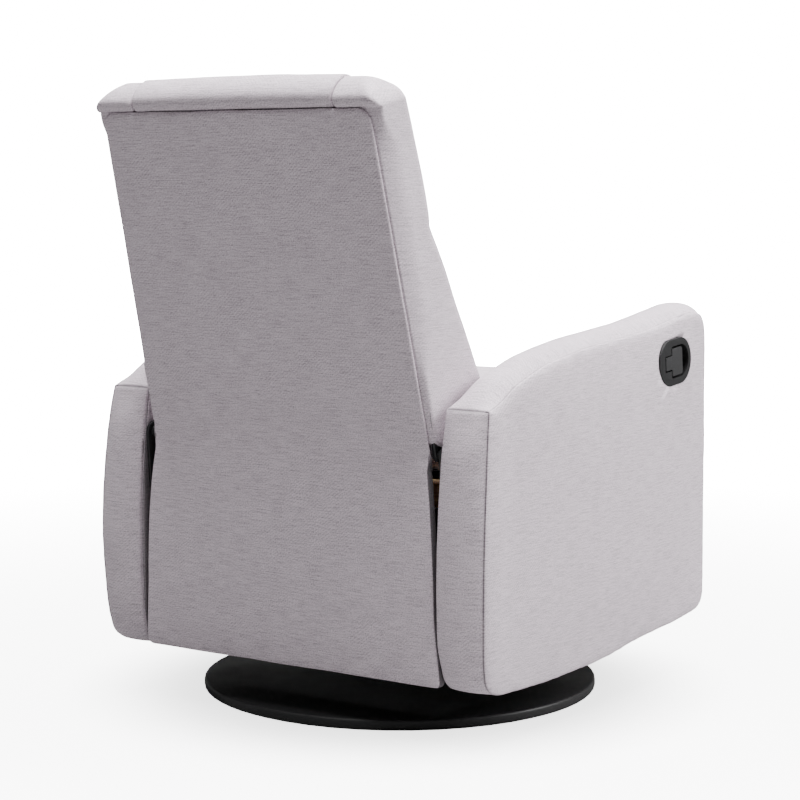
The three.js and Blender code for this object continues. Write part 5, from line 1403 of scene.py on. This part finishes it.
washer_up = result(bolt_tree, "GeometryNodeTransform",
                   {"Geometry": washer_solid, "Translation": (0, 0, 0.4 * WASHER)})
bolt = add(bolt_tree, "GeometryNodeJoinGeometry")
for part in (head_up, washer_up):
    bolt_tree.links.new(part, bolt.inputs[0])
way = result(bolt_tree, "GeometryNodeInputNamedAttribute", {"Name": "way"}, data_type="FLOAT_VECTOR")
aligned = result(bolt_tree, "FunctionNodeAlignRotationToVector", {"Vector": way}, axis="Z")
spin_angle = add(bolt_tree, "FunctionNodeRandomValue", data_type="FLOAT")
spin_angle.inputs[3].default_value = math.tau
bolt_tree.links.new(given["Seed"], spin_angle.inputs["Seed"])
spin = result(bolt_tree, "FunctionNodeAxisAngleToRotation",
              {"Axis": (0, 0, 1), "Angle": spin_angle.outputs[1]})
turned = result(bolt_tree, "FunctionNodeRotateRotation", {0: aligned, 1: spin}, rotation_space="LOCAL")
placed = result(bolt_tree, "GeometryNodeInstanceOnPoints",
                {"Points": given["Geometry"], "Instance": bolt.outputs[0], "Rotation": turned})
end_tree(bolt_tree, placed, given["Material"], bolt_out)


# %% Bolts where the pieces meet
def seats(rows):
    """Where rays from given places meet CAD nodes, and the way back. Each row: node, place, direction."""
    places, ways = [], []
    for name, place, direction in rows:
        mesh = frame["nodes"][name].data
        tree = BVHTree.FromPolygons([v.co for v in mesh.vertices], [tuple(f.vertices) for f in mesh.polygons])
        spot = tree.ray_cast(Vector(place), Vector(direction))[0]
        if spot is not None:
            places.append(spot)
            ways.append(tuple(-c for c in direction))
    print("seats found", len(places), "of", len(rows))
    return places, ways


plate_bolts, rail_bolts, post_bolts, frame_bolts = [], [], [], []
for name, side in (("left", 1), ("right", -1)):
    for y in (-0.2325, 0.2325):
        plate_bolts.append((f"mechanism_plate_{name}", (side * 0.32, y, 0.1175), (-side, 0, 0)))
        rail_bolts.append((f"glide_rail_{name}", (side * 0.1665, y, 0.04), (0, 0, 1)))
        frame_bolts.append(("turntable_frame", (side * 0.128, y * 0.22, 0.3), (0, 0, -1)))
    for y in (-0.31, -0.17, -0.03, 0.11):
        plate_bolts.append((f"mechanism_plate_{name}", (side * 0.281, y, 0.30), (0, 0, 1)))
POST_BOLTS, POST_CIRCLE = 6, 0.066
for number in range(POST_BOLTS):
    angle = math.tau * (number + 0.5) / POST_BOLTS
    above = (POST_CIRCLE * math.cos(angle), POST_CIRCLE * math.sin(angle), 0.3)
    post_bolts.append(("spindle_post", above, (0, 0, -1)))
for name, body, rows, size in (("chassis_bolts", "chassis", plate_bolts + rail_bolts, 0.011),
                               ("post_bolts", "base", post_bolts, 0.013),
                               ("turntable_bolts", "turntable", frame_bolts, 0.012)):
    places, ways = seats(rows)
    sizes = {"Head Width": size, "Head Height": 0.42 * size, "Washer Width": 1.5 * size, "Material": zinc}
    dress(grown(name, places, ways, bolt_tree, sizes), zinc, body, "zinc_steel")

# %% Tree: spring clips
clip_tree, clip_in, clip_out = geometry_tree("spring_clips", [
    ("Plate", "NodeSocketVector", (0.024, 0.0016, 0.014)), ("Nail Width", "NodeSocketFloat", 0.006),
    ("Material", "NodeSocketMaterial", None)])
given = clip_in.outputs
clip_plate = result(clip_tree, "GeometryNodeMeshCube", {"Size": given["Plate"]})
nail_radius = sums(clip_tree, "MULTIPLY", given["Nail Width"], 0.5)
nail = result(clip_tree, "GeometryNodeMeshCylinder", {"Vertices": 12, "Radius": nail_radius, "Depth": 0.0032})
BELOW = (0, 0, -0.0115)
nail_flat = result(clip_tree, "GeometryNodeTransform",
                   {"Geometry": nail, "Translation": BELOW, "Rotation": (math.pi / 2, 0, 0)})
tab_solid = result(clip_tree, "GeometryNodeMeshCube", {"Size": (0.012, 0.0014, 0.016)})
tab = result(clip_tree, "GeometryNodeTransform", {"Geometry": tab_solid, "Translation": BELOW})
clip = add(clip_tree, "GeometryNodeJoinGeometry")
for part in (clip_plate, nail_flat, tab):
    clip_tree.links.new(part, clip.inputs[0])
clips_placed = result(clip_tree, "GeometryNodeInstanceOnPoints",
                      {"Points": given["Geometry"], "Instance": clip.outputs[0]})
end_tree(clip_tree, clips_placed, given["Material"], clip_out)

rail_faces = (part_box("seat_rail_front")[1].y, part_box("seat_rail_rear")[0].y)
clip_places = [(x, y + way * 0.0008, z) for x, _, z in spring_feet for y, way in zip(rail_faces, (1, -1))]
clips = grown("spring_clips", clip_places, [(0, 1, 0)] * len(clip_places), clip_tree, {"Material": zinc})
dress(clips, zinc, "chassis", "zinc_steel")

# %% [markdown]
# ## Floor and light
# The studio is a pale floor and soft light, brighter from the chair's right and front than from behind
# the camera, so the rear faces are a tone darker than the arm's side. The floor and its lights aren't part
# of the chair.

# %% Studio
floor = mesh_object("studio_floor", [(-30, -30, 0), (30, -30, 0), (30, 30, 0), (-30, 30, 0)], [(0, 1, 2, 3)])
floor.location.z = -0.0005
floor_material, floor_tree, floor_shader = new_material("floor_white", (0.9, 0.9, 0.9, 1))
floor_shader.inputs["Base Color"].default_value = (0.32, 0.32, 0.32, 1)
floor_shader.inputs["Roughness"].default_value = 0.6
place = add(floor_tree, "ShaderNodeTexCoord").outputs["Object"]
from_base = add(floor_tree, "ShaderNodeVectorMath", {0: place}, operation="LENGTH").outputs["Value"]
seen = add(floor_tree, "ShaderNodeLightPath").outputs["Is Camera Ray"]
# Painted shadow: camera rays see the floor glow, and the glow is dimmer near the base. It rises from 2.8 to 8
# between 0.34 m and 0.62 m out, as a soft contact shadow, and farther out it grows brighter still.
glow_with_painted_shadow = sums(floor_tree, "ADD", ramp(floor_tree, from_base, 0.34, 0.62, 2.8, 8.0),
              ramp(floor_tree, from_base, 0.5, 6.0, 0.0, 24.0))
floor_glow = add(floor_tree, "ShaderNodeEmission", {"Strength": sums(floor_tree, "MULTIPLY", seen, glow_with_painted_shadow)})
floor_sum = add(floor_tree, "ShaderNodeAddShader", {0: floor_shader.outputs[0], 1: floor_glow.outputs[0]})
floor_tree.links.new(floor_sum.outputs[0], floor_tree.nodes["Material Output"].inputs["Surface"])
floor.data.materials.append(floor_material)
world = bpy.context.scene.world or bpy.data.worlds.new("studio")
bpy.context.scene.world = world
world.use_nodes = True
backdrop = world.node_tree.nodes["Background"]
backdrop.inputs[0].default_value = (1, 1, 1, 1)
seen = add(world.node_tree, "ShaderNodeLightPath").outputs["Is Camera Ray"]
world.node_tree.links.new(sums(world.node_tree, "MULTIPLY_ADD", seen, 20.0, 0.29), backdrop.inputs[1])


def area_light(name, place, target, size, power):
    """A square soft light that looks at a point."""
    data = bpy.data.lights.new(name, "AREA")
    data.size, data.energy = size, power
    lamp = bpy.data.objects.new(name, data)
    bpy.context.scene.collection.objects.link(lamp)
    lamp.location = place
    lamp.rotation_mode = "QUATERNION"
    lamp.rotation_quaternion = (Vector(target) - Vector(place)).to_track_quat("-Z", "Y")


area_light("key_light", (-3.2, -1.6, 2.6), (0, 0, 0.5), size=2.2, power=200)
area_light("top_light", (-0.3, 0.18, 4.0), (0, 0, 0.4), size=2.4, power=436)

# %% [markdown]
# ## Finishes for the pieces that stay as they are
# Frames, links and boards keep their CAD shape. Each gets the finish that its slot in the record names.

# %% Node finishes
for name, node in frame["nodes"].items():
    node.data.materials.clear()
    node.data.materials.append(finish_of(name))
print("finished nodes", len(frame["nodes"]))
